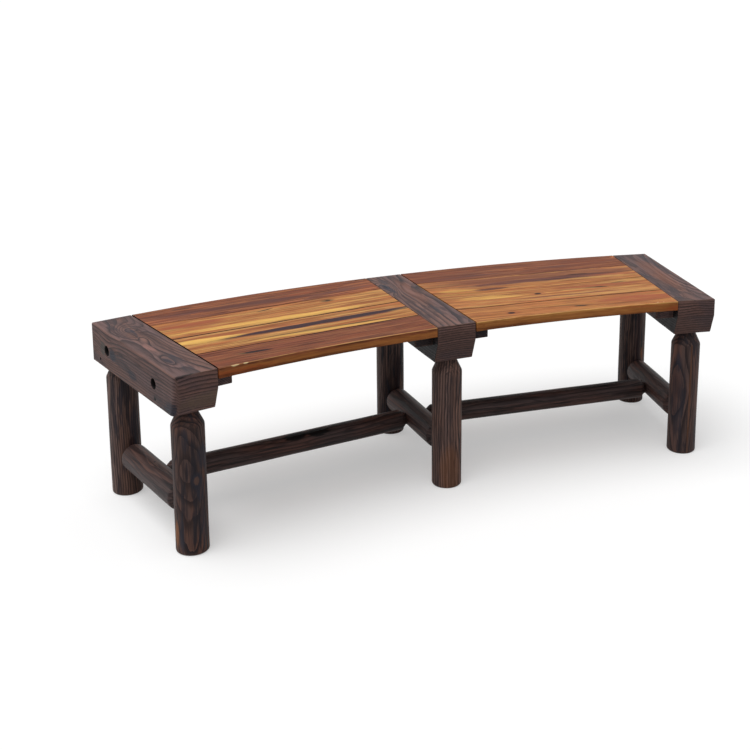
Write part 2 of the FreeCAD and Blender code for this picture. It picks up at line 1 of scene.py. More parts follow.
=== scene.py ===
# %% [markdown]
# The tree bench is a rustic garden seat, curved to stand round a trunk. Three squared beams lie on
# radii of one circle, log legs and stretchers carry them, and two panels of boards fill the seat.
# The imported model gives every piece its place. This script gives the pieces their worked look:
# eased edges, brushed and charred softwood below, and warm oiled boards on top.

import math

import bpy
import numpy as np
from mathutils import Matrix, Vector


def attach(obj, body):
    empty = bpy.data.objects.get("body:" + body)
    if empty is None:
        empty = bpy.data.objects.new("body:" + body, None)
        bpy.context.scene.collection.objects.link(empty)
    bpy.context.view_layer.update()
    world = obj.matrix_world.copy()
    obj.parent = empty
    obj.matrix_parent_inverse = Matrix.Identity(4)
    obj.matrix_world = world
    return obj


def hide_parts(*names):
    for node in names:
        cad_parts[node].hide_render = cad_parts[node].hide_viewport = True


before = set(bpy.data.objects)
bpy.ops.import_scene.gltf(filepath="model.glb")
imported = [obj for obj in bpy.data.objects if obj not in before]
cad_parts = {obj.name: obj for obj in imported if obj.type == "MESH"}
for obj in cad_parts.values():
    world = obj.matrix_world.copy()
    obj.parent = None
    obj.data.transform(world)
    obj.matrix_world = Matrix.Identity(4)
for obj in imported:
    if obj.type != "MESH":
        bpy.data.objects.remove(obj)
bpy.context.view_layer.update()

# %% [markdown]
# All lengths are in metres, and they are the ones the pieces were made to. A piece is drawn in its
# own frame: x across the radius it stands on, y out along it from the back end, z up from the floor.
# Turning that frame about the circle's centre sets the piece on the bench.

# %% Sizes of the bench
END_TURN = math.radians(12.2)
HALF_TURN = END_TURN / 2
BENCH_LENGTH = 1.47955
BENCH_DEPTH = 0.508
SEAT_HEIGHT = 0.40005
BEAM_WIDTH = 0.094
BEAM_DEPTH = 0.088
CORNER_CUT = 0.002 * math.sin(END_TURN)
ARC_RADIUS = (
    BENCH_LENGTH / 2 + CORNER_CUT - BEAM_WIDTH / 2 * math.cos(END_TURN)
) / math.sin(END_TURN)
BEAM_LENGTH = (
    BENCH_DEPTH
    + CORNER_CUT
    - ARC_RADIUS * (1 - math.cos(END_TURN))
    - BEAM_WIDTH / 2 * math.sin(END_TURN)
) / math.cos(END_TURN)
CENTRE_Y = BENCH_DEPTH / 2 - ARC_RADIUS
UNDERSIDE = SEAT_HEIGHT - BEAM_DEPTH
TURNS = {"left": -1, "middle": 0, "right": 1}
PANELS = {"left": -0.5, "right": 0.5}


def stand(points, turn):
    """Turn points about the circle's centre: a place at x across and y from the back end of a radius
    lands at the distance ARC_RADIUS + y from the centre, on the radius that is turned by a share of
    the end beams' turn."""
    angle = -END_TURN * turn
    across = points[..., 0]
    out = points[..., 1] + ARC_RADIUS
    x = across * math.cos(angle) - out * math.sin(angle)
    y = across * math.sin(angle) + out * math.cos(angle) + CENTRE_Y
    return np.stack((x, y, points[..., 2]), axis=-1)


print("arc radius", round(ARC_RADIUS, 4), "beam length", round(BEAM_LENGTH, 4))

# %% [markdown]
# Worked timber is never quite flat or round: the plane leaves long swells and the drawknife leaves
# lows. A sum of a few slow waves in random directions is enough for that, and it is the same in
# every run. It only ever lowers the surface, so a piece stays inside its packed size.

# %% Slow swells
def swell(points, seed, size):
    """Waves summed: four sines of the place, with random directions, lengths near the size given and
    random phases, added and scaled to lie between 0 and 1."""
    rng = np.random.default_rng(seed)
    total = np.zeros(points.shape[:-1])
    for _ in range(4):
        direction = rng.normal(size=3)
        direction *= rng.uniform(0.6, 1.6) * 2 * math.pi / size / np.linalg.norm(direction)
        total += np.sin(points @ direction + rng.uniform(0, 2 * math.pi))
    return 0.5 + total / 8


# %% [markdown]
# Every wooden piece is one closed skin: rings of points that follow each other along the piece, each
# ring closed on itself, and a pole at each end. With each point goes its place in the timber it was
# sawn from: along the fibres, across them and up. The wood finish reads that place, so the grain runs
# with the piece whichever way the piece lies. A second value tells how worn the wood is, and it also
# carries painted highlight and painted shade. Boxes with modifiers would be quicker to make, but
# rings give every edge and every hole a shape of its own.

# %% Put data into the scene
def add(name, data):
    """A new object at the origin, unturned, that shows a mesh, a light or a camera."""
    made = bpy.data.objects.new(name, data)
    bpy.context.scene.collection.objects.link(made)
    return made


def store(mesh, name, kind, key, values):
    """Keep a number or a vector for every point of the mesh."""
    kept = mesh.attributes.new(name, kind, "POINT")
    kept.data.foreach_set(key, values.astype(np.float32).ravel())


# %% Make a piece from rings
def with_poles(values):
    """Line up the values of all rings, then the mean of the first ring and the mean of the last."""
    return np.concatenate((values.reshape(-1, *values.shape[2:]), values[[0, -1]].mean(axis=1)))


def make_piece(name, node, rings, grain, wear, material):
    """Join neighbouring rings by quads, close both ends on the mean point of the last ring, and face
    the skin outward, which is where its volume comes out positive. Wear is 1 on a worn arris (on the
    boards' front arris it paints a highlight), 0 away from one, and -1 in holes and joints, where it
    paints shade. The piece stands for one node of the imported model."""
    count, around = rings.shape[:2]
    index = np.arange(count * around).reshape(count, around)
    beside = np.roll(index, -1, axis=1)
    quads = np.stack((index[:-1], beside[:-1], beside[1:], index[1:]), axis=-1).reshape(-1, 4)
    first, last = count * around, count * around + 1
    start_fan = np.stack((beside[0], index[0], np.full(around, first)), axis=-1)
    end_fan = np.stack((index[-1], beside[-1], np.full(around, last)), axis=-1)
    points = with_poles(rings)
    triangles = np.concatenate((quads[:, [0, 1, 2]], quads[:, [0, 2, 3]], start_fan, end_fan))
    a, b, c = (points[triangles[:, k]] for k in range(3))
    volume = np.einsum("ij,ij->i", a, np.cross(b, c)).sum() / 6
    faces = quads.tolist() + start_fan.tolist() + end_fan.tolist()
    if volume < 0:
        faces = [face[::-1] for face in faces]

    mesh = bpy.data.meshes.new(name)
    mesh.from_pydata(points.tolist(), [], faces)
    store(mesh, "grain", "FLOAT_VECTOR", "vector", with_poles(grain))
    store(mesh, "wear", "FLOAT", "value", with_poles(wear))
    mesh.shade_smooth()
    mesh.materials.append(material)
    piece = add(name, mesh)
    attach(piece, "root")
    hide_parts(node)
    print(name, len(faces), "faces, volume in litres", round(abs(volume) * 1000, 3))


# %% [markdown]
# Beams, boards and battens are bars of a rectangular section whose edges are eased all round. The
# section is walked once as corner arcs and side lines, and each corner has a radius of its own. The
# ends repeat the same easing along the bar, so no edge is left sharp and light catches every arris.
# A Bevel modifier would be quicker, but it eases all edges alike.

# %% Surface of an eased bar
ARC_STEPS = 4
END_SHARE = 0.85
CAP_SCALES = (0.1, 0.3, 0.5, 0.7, 0.88, 0.97)
RIM = 0.0012


def spread(low, high, inset, count, rim=RIM):
    """Lines evenly between two edges, all an inset away from them, with one more line a rim inside
    each limit to hold the flat face flat."""
    low, high = low + inset, high - inset
    inner = np.linspace(low + 4 * rim, high - 4 * rim, count)
    return np.concatenate(([low + rim], inner, [high - rim]))


# %% Section of a bar
def section(half, low, high, radii, widths, heights):
    """Walk a rectangle with a quarter circle of its own radius at each corner, from the lower right
    corner up, and return at each place the point, the outward normal and the edge radius there."""
    corners = np.array([(half, low), (half, high), (-half, high), (-half, low)])
    inward = np.array([(-1, 1), (-1, -1), (1, -1), (1, 1)])
    sides = (
        np.stack((np.full(len(heights), half), heights), axis=-1),
        np.stack((widths[::-1], np.full(len(widths), high)), axis=-1),
        np.stack((np.full(len(heights), -half), heights[::-1]), axis=-1),
        np.stack((widths, np.full(len(widths), low)), axis=-1),
    )
    points, normals, rounds = [], [], []
    for k in range(4):
        angle = math.radians(90 * (k - 1)) + np.linspace(0, math.pi / 2, ARC_STEPS + 1)
        normal = np.stack((np.cos(angle), np.sin(angle)), axis=-1)
        points += [corners[k] + (inward[k] + normal) * radii[k], sides[k]]
        normals += [normal, np.tile(normal[-1], (len(sides[k]), 1))]
        share = np.linspace(0, 1, len(sides[k]) + 2)[1:-1]
        change = radii[(k + 1) % 4] - radii[k]
        rounds += [np.full(ARC_STEPS + 1, radii[k]), radii[k] + share * change]
    return np.concatenate(points), np.concatenate(normals), np.concatenate(rounds)


# %% Bar along a section
def bar(loop, start, end, lines, middle=None):
    """Carry a section along a straight bar: at each end the section is drawn in and moved out along a
    quarter circle of a little less than its edge radius, and the flat end closes by shrinking it
    about its middle. Returns rings of (section x, section y, along) and the section normals."""
    outer, normals, rounds = loop
    radius = rounds * END_SHARE
    core = outer - normals * radius[:, None]
    if middle is None:
        middle = (outer.min(axis=0) + outer.max(axis=0)) / 2
    turn = np.linspace(0, math.pi / 2, ARC_STEPS + 1)[:, None]
    eased = core + normals * (radius * np.sin(turn))[..., None]
    drawn = radius * (1 - np.cos(turn))
    cap = middle + np.array(CAP_SCALES)[:, None, None] * (core - middle)
    flat = np.zeros((len(CAP_SCALES), len(outer)))
    body = np.tile(outer, (len(lines), 1, 1))
    xs = np.concatenate((cap, eased, body, eased[::-1], cap[::-1]))
    along = np.concatenate((
        start + flat,
        start + drawn,
        np.tile(np.asarray(lines)[:, None], (1, len(outer))),
        end - drawn[::-1],
        end - flat,
    ))
    return np.concatenate((xs, along[..., None]), axis=-1), normals


def arris_wear(shape, reach=0.005):
    """How near a point of a bar is to an arris: of its depths under the three pairs of faces the
    middle one is the distance to the nearest arris, and wear falls from 1 to 0 within the reach."""
    low = shape.reshape(-1, 3).min(axis=0)
    high = shape.reshape(-1, 3).max(axis=0)
    depth = np.sort(np.minimum(shape - low, high - shape), axis=-1)
    return np.clip(1 - depth[..., 1] / reach, 0, 1)


# %% [markdown]
# Legs and stretchers are turned logs: a round profile carried along an axis. A real log keeps the
# slight flats of the drawknife, so its radius swells and sinks a little along it and round it. The
# shoulders are cones, with the turn into them softened.

# %% Surface of a log
LOG_AROUND = 96
LOG_WEAR = 0.0009
LOG_SWELL = 0.05
THICK_ENOUGH = 0.02


def log(profile, seed):
    """Revolve a profile of (along, radius): the point at angle t stands at the radius less a slow
    swell, times the cosine and sine of t. The swells are long along the log, and shallower where it
    is thin. Returns rings of (x, y, along) about the log's own axis."""
    angle = np.linspace(0, 2 * math.pi, LOG_AROUND, endpoint=False)
    spoke = np.stack((np.cos(angle), np.sin(angle)), axis=-1)
    along = np.tile(profile[:, 0][:, None], (1, LOG_AROUND))
    radius = np.tile(profile[:, 1][:, None], (1, LOG_AROUND))
    shape = np.concatenate((spoke * radius[..., None], along[..., None]), axis=-1)
    thick = np.minimum(1, radius / THICK_ENOUGH)
    low = LOG_WEAR * swell(shape * (1, 1, 0.3), seed, LOG_SWELL) * thick
    return np.concatenate((spoke * (radius - low)[..., None], along[..., None]), axis=-1)


# %% Profile with soft corners
def soft_profile(corners, soften, step=0.006):
    """Round the inner corners of a profile: walk each straight run in even steps and replace a corner
    by the parabola that leaves one run and joins the next at the softening length from it."""
    corners = np.asarray(corners, float)
    path = []
    for k in range(1, len(corners)):
        a, b = corners[k - 1], corners[k]
        length = np.linalg.norm(b - a)
        first = soften[k - 1] / length
        last = 1 - soften[k] / length
        count = max(2, int(length * (last - first) / step))
        path += [a + (b - a) * t for t in np.linspace(first, last, count)]
        if soften[k]:
            c = corners[k + 1]
            leave = b + (a - b) * soften[k] / length
            join = b + (c - b) * soften[k] / np.linalg.norm(c - b)
            steps = (0.2, 0.4, 0.6, 0.8)
            path += [(1 - t) ** 2 * leave + 2 * t * (1 - t) * b + t**2 * join for t in steps]
    path = np.array(path)
    apart = np.linalg.norm(np.diff(path, axis=0), axis=1) > 1e-6
    return path[np.concatenate(([True], apart))]


# %% [markdown]
# The finishes are node materials. One small class lets a socket take part in ordinary arithmetic, so
# a pattern reads as the formula it is.

# %% A socket in arithmetic
class Socket:
    """A value in a material's node tree that can be added, multiplied and shaped."""

    def __init__(self, graph, output):
        self.graph = graph
        self.output = output

    def __add__(self, other):
        return self.graph.math("ADD", self, other)

    __radd__ = __add__

    def __sub__(self, other):
        return self.graph.math("SUBTRACT", self, other)

    def __rsub__(self, other):
        return self.graph.math("SUBTRACT", other, self)

    def __mul__(self, other):
        return self.graph.math("MULTIPLY", self, other)

    __rmul__ = __mul__

    def __truediv__(self, other):
        return self.graph.math("DIVIDE", self, other)

    def __rtruediv__(self, other):
        return self.graph.math("DIVIDE", other, self)

    def __pow__(self, other):
        return self.graph.math("POWER", self, other)

    def step(self, low, high):
        """Rise smoothly from 0 at low to 1 at high, or fall where low is the larger."""
        inputs = {"Value": self, "From Min": low, "From Max": high}
        return self.graph.node("ShaderNodeMapRange", {"interpolation_type": "SMOOTHSTEP"}, inputs)


# %% A node tree
class Graph:
    """The node tree of a material or of the world."""

    def __init__(self, owner):
        owner.use_nodes = True
        self.owner = owner
        self.tree = owner.node_tree
        self.tree.nodes.clear()

    def node(self, kind, settings=None, inputs=None, output=0):
        """Add a node: settings first, then each input takes a number, a tuple or a link."""
        made = self.tree.nodes.new(kind)
        for key, setting in (settings or {}).items():
            setattr(made, key, setting)
        for key, given in (inputs or {}).items():
            if isinstance(given, Socket):
                self.tree.links.new(given.output, made.inputs[key])
            else:
                made.inputs[key].default_value = given
        return Socket(self, made.outputs[output]) if made.outputs else None

    def math(self, operation, *values):
        """One step of arithmetic on links and numbers."""
        return self.node("ShaderNodeMath", {"operation": operation}, dict(enumerate(values)))

    def attribute(self, name, output):
        """A value that is stored on the mesh."""
        return self.node("ShaderNodeAttribute", {"attribute_name": name}, None, output)

    def mix(self, factor, low, high):
        """Mix two colours."""
        return self.node("ShaderNodeMix", {"data_type": "RGBA"}, {0: factor, 6: low, 7: high}, 2)

    def shade(self, colour, factor):
        """A colour made lighter or darker by a factor."""
        return self.node("ShaderNodeVectorMath", {"operation": "SCALE"}, {0: colour, "Scale": factor})

    def noise(self, place, size, seed, detail=2.0, roughness=0.55):
        """Smooth noise about 0.5, with features of the sizes given in metres along, across and up."""
        scale = tuple(1 / length for length in size)
        shift = (seed * 3.7, seed * 1.9, seed * 5.3)
        inputs = {"Vector": place, "Location": shift, "Scale": scale}
        mapped = self.node("ShaderNodeMapping", None, inputs)
        inputs = {"Vector": mapped, "Scale": 1.0, "Detail": detail, "Roughness": roughness}
        return self.node("ShaderNodeTexNoise", {"noise_dimensions": "3D"}, inputs)

    def around(self, place, centre, size, lean=0.0):
        """The distance from a centre, counted in half sizes along, across and up: 1 is the rim."""
        inputs = {"Vector": place, "Location": centre, "Rotation": (0, 0, lean), "Scale": size}
        mapped = self.node("ShaderNodeMapping", {"vector_type": "TEXTURE"}, inputs)
        return self.node("ShaderNodeVectorMath", {"operation": "LENGTH"}, {0: mapped}, 1)

    def finish(self, settings):
        """Close a material's tree with one principled surface."""
        shader = self.node("ShaderNodeBsdfPrincipled", None, settings)
        self.node("ShaderNodeOutputMaterial", None, {"Surface": shader})
        return self.owner


# %% Display colours
def colour(red, green, blue):
    """A display colour out of 255 as the linear colour that a shader takes."""
    parts = np.array((red, green, blue)) / 255
    linear = np.where(parts <= 0.04045, parts / 12.92, ((parts + 0.055) / 1.055) ** 2.4)
    return (*(float(part) for part in linear), 1.0)


# %% [markdown]
# Wood is made in the solid, as it grows: sleeves of light early wood and dark late wood about a pith
# that lies off to one side, bent by slow noise and lifted round each knot. Whatever surface cuts the
# sleeves shows the right figure: arches on a flat-sawn face, straight lines on a quartered one. An
# image of wood wrapped round each piece would show its seams, and its ends would not match its sides.

# %% Growth sleeves
def sleeves(graph, place, parts, look, seed, knots):
    """Count growth sleeves as (distance from the pith + bends + knots) / spacing. The fraction gives
    early wood turning to late wood, the whole number gives each sleeve its own tone. The pith comes
    nearer away from the waist. A knot is a centre, its half sizes, its lift and how dark its heart
    is. Returns the share of late wood, the sleeve's tone and the knots' hearts."""
    along, across, up = parts
    facing = math.radians(look["pith_angle"])
    off_waist = along - look["waist"]
    shift = look["pith_distance"] - (off_waist * off_waist + 0.0001) ** 0.5 * look["pith_lean"]
    side = across + shift * math.cos(facing)
    rise = up + shift * math.sin(facing)
    distance = (side * side + rise * rise) ** 0.5
    bend = graph.noise(place, look["bend_size"], seed, 1.0) - 0.5
    ripple = graph.noise(place, (0.05, 0.012, 0.012), seed + 0.3) - 0.5
    distance = distance + bend * look["bend"] + ripple * look["ripple"]
    heart = 0.0
    for centre, size, lift, dark in knots:
        off = graph.around(place, centre, size)
        distance = distance + graph.math("EXPONENT", off * off * -0.5) * lift
        heart = graph.math("MAXIMUM", heart, off.step(0.7, 0.25) * dark)

    count = distance / look["spacing"]
    share = graph.math("FRACT", count)
    sleeve = graph.math("FLOOR", count) + seed
    tone = graph.node("ShaderNodeTexWhiteNoise", {"noise_dimensions": "1D"}, {"W": sleeve}, 0)
    late = share.step(look["late_from"], 0.93) * share.step(1.0, 0.95) * (0.6 + tone * 0.55)
    return late, tone, heart


# %% [markdown]
# Over the sleeves come the traces of work and weather: fine fibres and dark streaks along the grain,
# scorched patches, thin veins, worn arrises, and marks placed one by one. On the boards' front arris
# the worn colour is a painted highlight, and holes and joints get painted shade. The streaks break a
# mark up and the fray tears its rim, so that it looks burnt or soaked in and not painted on. Late
# wood stands proud where the soft wood was brushed away, which the bump shows.

# %% Wood
# Near black: painted shade in holes and joints, and also the colour of small dark spots such as burnt
# places and screw heads.
HOLLOW = colour(12, 9, 10)
BLOTCHED_TO = 0.4


def wood(name, look, seed, knots=(), marks=()):
    """Lay the traces over the sleeves one after the other. A mark is a soft ellipsoid: its centre,
    half sizes, lean about the upright, strength and colour. The front end of a beam lies beyond the
    blotched part and keeps its plain lines."""
    graph = Graph(bpy.data.materials.new(name))
    place = graph.attribute("grain", 1)
    parts = [graph.node("ShaderNodeSeparateXYZ", None, {0: place}, k) for k in range(3)]
    late, tone, heart = sleeves(graph, place, parts, look, seed, knots)

    fibre = graph.noise(place, look["fibre_size"], seed + 0.7, 3.0, 0.65)
    streak = graph.noise(place, look["streak_size"], seed + 1.1, 3.0, 0.6)
    cloud = graph.noise(place, look["cloud_size"], seed + 1.7)
    char = graph.noise(place, look["char_size"], seed + 3.1, 3.0)
    fray = graph.noise(place, (0.05, 0.004, 0.004), seed + 2.3) - 0.5
    vein = graph.math("ABSOLUTE", graph.noise(place, look["vein_size"], seed + 4.3) - 0.5)
    blotchy = 1 - parts[0].step(BLOTCHED_TO, BLOTCHED_TO + 0.02) * 0.8

    base = graph.mix(cloud.step(0.4, 0.6), look["early"], look["early_other"])
    base = graph.mix(streak.step(0.5, 0.62) * look["streaks"] * blotchy, base, look["streak"])
    base = graph.mix(late * look["late_share"], base, look["late"])
    base = graph.mix(char.step(0.53, 0.62) * look["char_share"] * blotchy, base, look["char"])
    base = graph.mix(vein.step(0.03, 0.0) * look["veins"] * blotchy, base, look["late"])
    # The wear value: above zero the worn colour goes on, which is wear on the beams and logs and a
    # painted highlight on the boards' front arris; below zero is painted shade.
    edge = graph.attribute("wear", 2)
    wear_and_highlight = edge.step(0.0, 1.0) * (streak + fray).step(0.2, 0.5)
    base = graph.mix(wear_and_highlight * look["wear"], base, look["worn"])
    broken = 0.6 + streak.step(0.35, 0.55) * 0.4
    for centre, size, lean, strength, paint in marks:
        off = graph.around(place, centre, size, lean) + fray * 0.9
        base = graph.mix(off.step(1.15, 0.6) * broken * strength, base, paint)
    base = graph.mix(heart * 0.85, base, look["knot"])
    uneven = (1 + (tone - 0.5) * look["sleeve_tone"]) * (1 + (fibre - 0.5) * look["fibre"])
    # Painted shade: where the wear value is below zero, in holes and in the joints at the boards'
    # ends, the colour goes to near black.
    base = graph.mix(edge.step(-0.3, -0.9), graph.shade(base, uneven), HOLLOW)

    height = late * look["late_height"] + fibre * look["fibre_height"] + streak * 0.25
    bump = graph.node("ShaderNodeBump", None, {"Distance": look["relief"], "Height": height})
    return graph.finish({
        "Base Color": base,
        "Roughness": look["roughness"] + (fibre - 0.5) * 0.25 - late * 0.08,
        "Specular IOR Level": look["gloss"],
        "Normal": bump,
    })


# %% [markdown]
# A look is a set of sizes, shares and colours for that one formula, with lengths in metres along,
# across and up. The beams' scorched softwood is written out in full, and every other look says only
# where it differs. The seat is oiled and nearly smooth, the golden boards are its cleaner ones. The
# logs have narrow sleeves and a pith close by, which gives arches up their sides.

# %% Looks of the woods
CHARRED = dict(
    pith_distance=0.16, pith_angle=74, pith_lean=0.02, waist=0.0, bend=0.016,
    bend_size=(0.22, 0.06, 0.1), ripple=0.003, spacing=0.0056, late_from=0.3, late_share=0.95,
    early=colour(118, 88, 80), early_other=colour(104, 82, 80), streak=colour(74, 58, 58),
    streaks=0.6, streak_size=(0.12, 0.009, 0.003), cloud_size=(0.25, 0.045, 0.045),
    late=colour(40, 29, 31), vein_size=(0.3, 0.02, 0.02), veins=0.5, char=colour(50, 46, 52),
    char_share=0.6, char_size=(0.12, 0.03, 0.03), sleeve_tone=0.35, fibre=0.8,
    fibre_size=(0.04, 0.0014, 0.0014), knot=colour(42, 42, 50), worn=colour(128, 98, 86), wear=0.3,
    late_height=1.0, fibre_height=0.5, relief=0.0006, roughness=0.6, gloss=0.12,
)
# On the boards the worn colour, with a strong wear share, is a painted highlight along the front
# arris.
OILED = dict(
    CHARRED,
    pith_distance=0.2, pith_angle=60, bend=0.02, bend_size=(0.5, 0.06, 0.06), ripple=0.0015,
    spacing=0.005, late_from=0.1, late_share=0.5, early=colour(166, 104, 68),
    early_other=colour(136, 76, 52), streak=colour(84, 46, 36), streaks=0.85,
    streak_size=(0.16, 0.006, 0.006), cloud_size=(0.2, 0.014, 0.014), late=colour(88, 48, 34),
    vein_size=(0.35, 0.012, 0.012), veins=0.75, char=colour(112, 60, 42), char_share=0.6,
    char_size=(0.3, 0.012, 0.012), sleeve_tone=0.3, fibre=1.0, fibre_size=(0.05, 0.002, 0.002),
    knot=colour(60, 36, 30), worn=colour(222, 168, 108), wear=0.9, late_height=0.5, fibre_height=0.4,
    relief=0.0003, roughness=0.5, gloss=0.03,
)
GOLDEN = dict(
    OILED,
    early=colour(200, 150, 88), early_other=colour(186, 120, 70), streak=colour(126, 74, 44),
    late=colour(138, 84, 48), char=colour(168, 98, 56), worn=colour(232, 180, 112),
)
LOG_LOOK = dict(
    CHARRED,
    pith_distance=0.07, pith_lean=0.1, waist=0.19, bend=0.01, bend_size=(0.12, 0.04, 0.04),
    ripple=0.002, spacing=0.0032, early=colour(102, 72, 62), early_other=colour(86, 68, 64),
    streak=colour(50, 42, 44), late=colour(34, 26, 28), char=colour(36, 35, 42), char_share=0.75,
    char_size=(0.1, 0.014, 0.014), worn=colour(96, 74, 66),
)
STRIPED = dict(
    LOG_LOOK,
    pith_distance=0.12, pith_lean=0.03, spacing=0.0062, late_share=1.0, early=colour(128, 98, 87),
    early_other=colour(116, 94, 88), char_share=0.4,
)
RAIL = dict(
    LOG_LOOK,
    waist=0.0, pith_distance=0.04, pith_lean=0.04, bend=0.026, bend_size=(0.2, 0.04, 0.04),
    spacing=0.009, late_from=0.1, late_share=0.75, early=colour(106, 76, 68),
    early_other=colour(94, 78, 76), char=colour(22, 17, 19), char_size=(0.16, 0.012, 0.012),
    roughness=0.55, gloss=0.15,
)
print("sleeve spacings", [look["spacing"] for look in (CHARRED, OILED, LOG_LOOK, STRIPED, RAIL)])

# %% [markdown]
# The three beams are squared softwood, planed and scorched. Each front end is cut back under a kink,
# and the left one's front left corner is worn round. Each end beam has two counterbores in its outer
# face for the coach screws, and a small hole over the back leg. Booleans would cut all this but leave
# ragged triangles, so the skin's own lines are moved: the lower part of the front end slides back,
# less and less along the beam, and a square patch of the face is drawn into rings, the inner ones
# pushed in.

# %% Sizes of the front end and of the holes
UNDERCUT_RUN = 0.018
UNDERCUT_RISE = 0.047
KINK = UNDERSIDE + UNDERCUT_RISE
KINK_FADE = 0.07
BY_KINK = np.array((-0.002, -0.001, 0.001, 0.002))
ROUND_LINES = np.array((0.0055, 0.007, 0.009, 0.011, 0.0135))
BOLT_HEIGHT = SEAT_HEIGHT - 0.0443
BOLT_HOLE = (BOLT_HEIGHT, 0.0118, 0.0238)
PATCH_STEPS = 12
PATCH = np.arange(-PATCH_STEPS, PATCH_STEPS + 1)
RING_RADIUS = np.array((0, 0.18, 0.36, 0.54, 0.76, 0.94, 1, 1, 1, 1.045, 1.12, 1.22, 1.32))
RING_DEPTH = np.array((1, 1, 1, 1, 1, 1, 0.995, 0.5, 0.03, 0, 0, 0, 0))
LEG_SPOTS = {"back": -0.0437, "front": -(BEAM_LENGTH - 0.0515)}
HOLES = (
    (-0.083, *BOLT_HOLE),
    (-(BEAM_LENGTH - 0.105), *BOLT_HOLE),
    (LEG_SPOTS["back"], UNDERSIDE + 0.015, 0.0034, 0.0043),
)
print("kink", round(KINK, 4), "bolt holes", round(BOLT_HEIGHT, 4), "above the floor")


# %% A hole in a face
def patch_lines(middle, radius):
    """The lines of the grid that a hole needs, either way through its middle."""
    return middle + PATCH * radius * RING_RADIUS[-1] / PATCH_STEPS


def bore(rings, side, hole):
    """Draw a square patch of the outer face into a round hole: the ring at step k of the patch turns
    from a square to a circle of its own radius and goes to its own depth. A square ring becomes round
    by scaling each part by the root of 1 less half the square of the other."""
    spot, height, radius, depth = hole
    rows = np.abs(rings[:, 0, 1][:, None] - patch_lines(spot, radius)).argmin(axis=0)
    face = np.flatnonzero(np.abs(rings[rows[0], :, 0] - side * BEAM_WIDTH / 2) < 0.002)
    nearest = np.abs(rings[rows[0], face, 2][:, None] - patch_lines(height, radius)).argmin(axis=0)
    patch = np.ix_(rows, face[nearest])
    i, j = np.meshgrid(PATCH, PATCH, indexing="ij")
    ring = np.maximum(np.abs(i), np.abs(j))
    p, q = i / np.maximum(ring, 1), j / np.maximum(ring, 1)
    squared = np.clip((ring - 9) / 3, 0, 1)
    reach = radius * RING_RADIUS[ring]
    rings[patch + (1,)] = spot + reach * p * (squared + (1 - squared) * np.sqrt(1 - q * q / 2))
    rings[patch + (2,)] = height + reach * q * (squared + (1 - squared) * np.sqrt(1 - p * p / 2))
    rings[patch + (0,)] -= side * depth * RING_DEPTH[ring]
    # The rings sunk into the hole are returned for painted shade on its wall and floor.
    return patch, RING_DEPTH[ring] > 0.02


# %% Lines of a beam's skin
def fill(groups, low, high, step):
    """Sort groups of lines between two limits, and add even lines where they leave a wide gap."""
    lines = np.unique(np.round(np.concatenate(([low], *groups, [high])), 7))
    lines = lines[(lines >= low) & (lines <= high)]
    gaps = np.diff(lines)
    extra = [
        np.linspace(a, a + gap, int(np.ceil(gap / step)) + 1)[1:-1]
        for a, gap in zip(lines, gaps)
        if gap > step
    ]
    return np.sort(np.concatenate([lines, *extra]))


# %% Worn corner and undercut
def round_corner(rings, from_front, radius):
    """Near the front end the left half is drawn in by the radius less the height of its quarter
    circle: by all of it under the kink, and by less above."""
    short = np.clip(1 - from_front / radius, 0, 1)
    low_share = np.clip((KINK + 0.012 - rings[..., 2]) / 0.03, 0, 1)
    inset = radius * (0.4 + 0.6 * low_share) * (1 - np.sqrt(1 - short * short)) / (BEAM_WIDTH / 2)
    rings[..., 0] *= np.where(rings[..., 0] < 0, 1 - inset, 1)


def undercut(rings, from_front):
    """Slide a point back by the run times its share of the way below the kink, with the turn at the
    kink softened, and by less further from the front end."""
    below = (KINK - rings[..., 2]) / UNDERCUT_RISE
    slide = UNDERCUT_RUN * (below + np.sqrt(below * below + 0.0003)) / 2
    rings[..., 1] += slide * np.clip(1 - from_front / KINK_FADE, 0, 1)


# %% [markdown]
# The wood of a beam is placed by the beam's own lines, lengthwise, so its front end would show the
# sleeves at the slant that the pith gives. On the real bench the lines there lie nearly level, so the
# timber's places are turned on that face alone, which is simpler than a wood for each end.

# %% Level lines
SAWN_FACE = np.array((1,) * len(CAP_SCALES) + (1, 1, 0.6, 0.3, 0))


def timber(rings, low):
    """Places in a timber that lies along its radius: forward, across and up from its underside."""
    return np.stack((-rings[..., 1], rings[..., 0], rings[..., 2] - low), axis=-1)


def level_lines(grain, lean):
    """Lay the lines of the front end level: on the flat end a place across counts half and the
    section is turned about its middle by the lean, and the eased edge blends this in."""
    end = grain[:len(SAWN_FACE)]
    across, up = end[..., 1] / 2, end[..., 2] - BEAM_DEPTH / 2
    turn = math.radians(lean)
    level_across = across * math.cos(turn) - up * math.sin(turn)
    level_up = across * math.sin(turn) + up * math.cos(turn) + BEAM_DEPTH / 2
    level = np.stack((end[..., 0], level_across, level_up), axis=-1)
    end += SAWN_FACE[:, None, None] * (level - end)


# %% One beam
SIDE_STEP = 0.004
LENGTH_STEP = 0.006
SIDE_EDGE = 0.0085
TOP_EDGE = 0.008
FRONT_EDGE = 0.005
BACK_EDGE = 0.009
BEAM_WEAR = 0.0004
BEAM_SWELL = 0.09


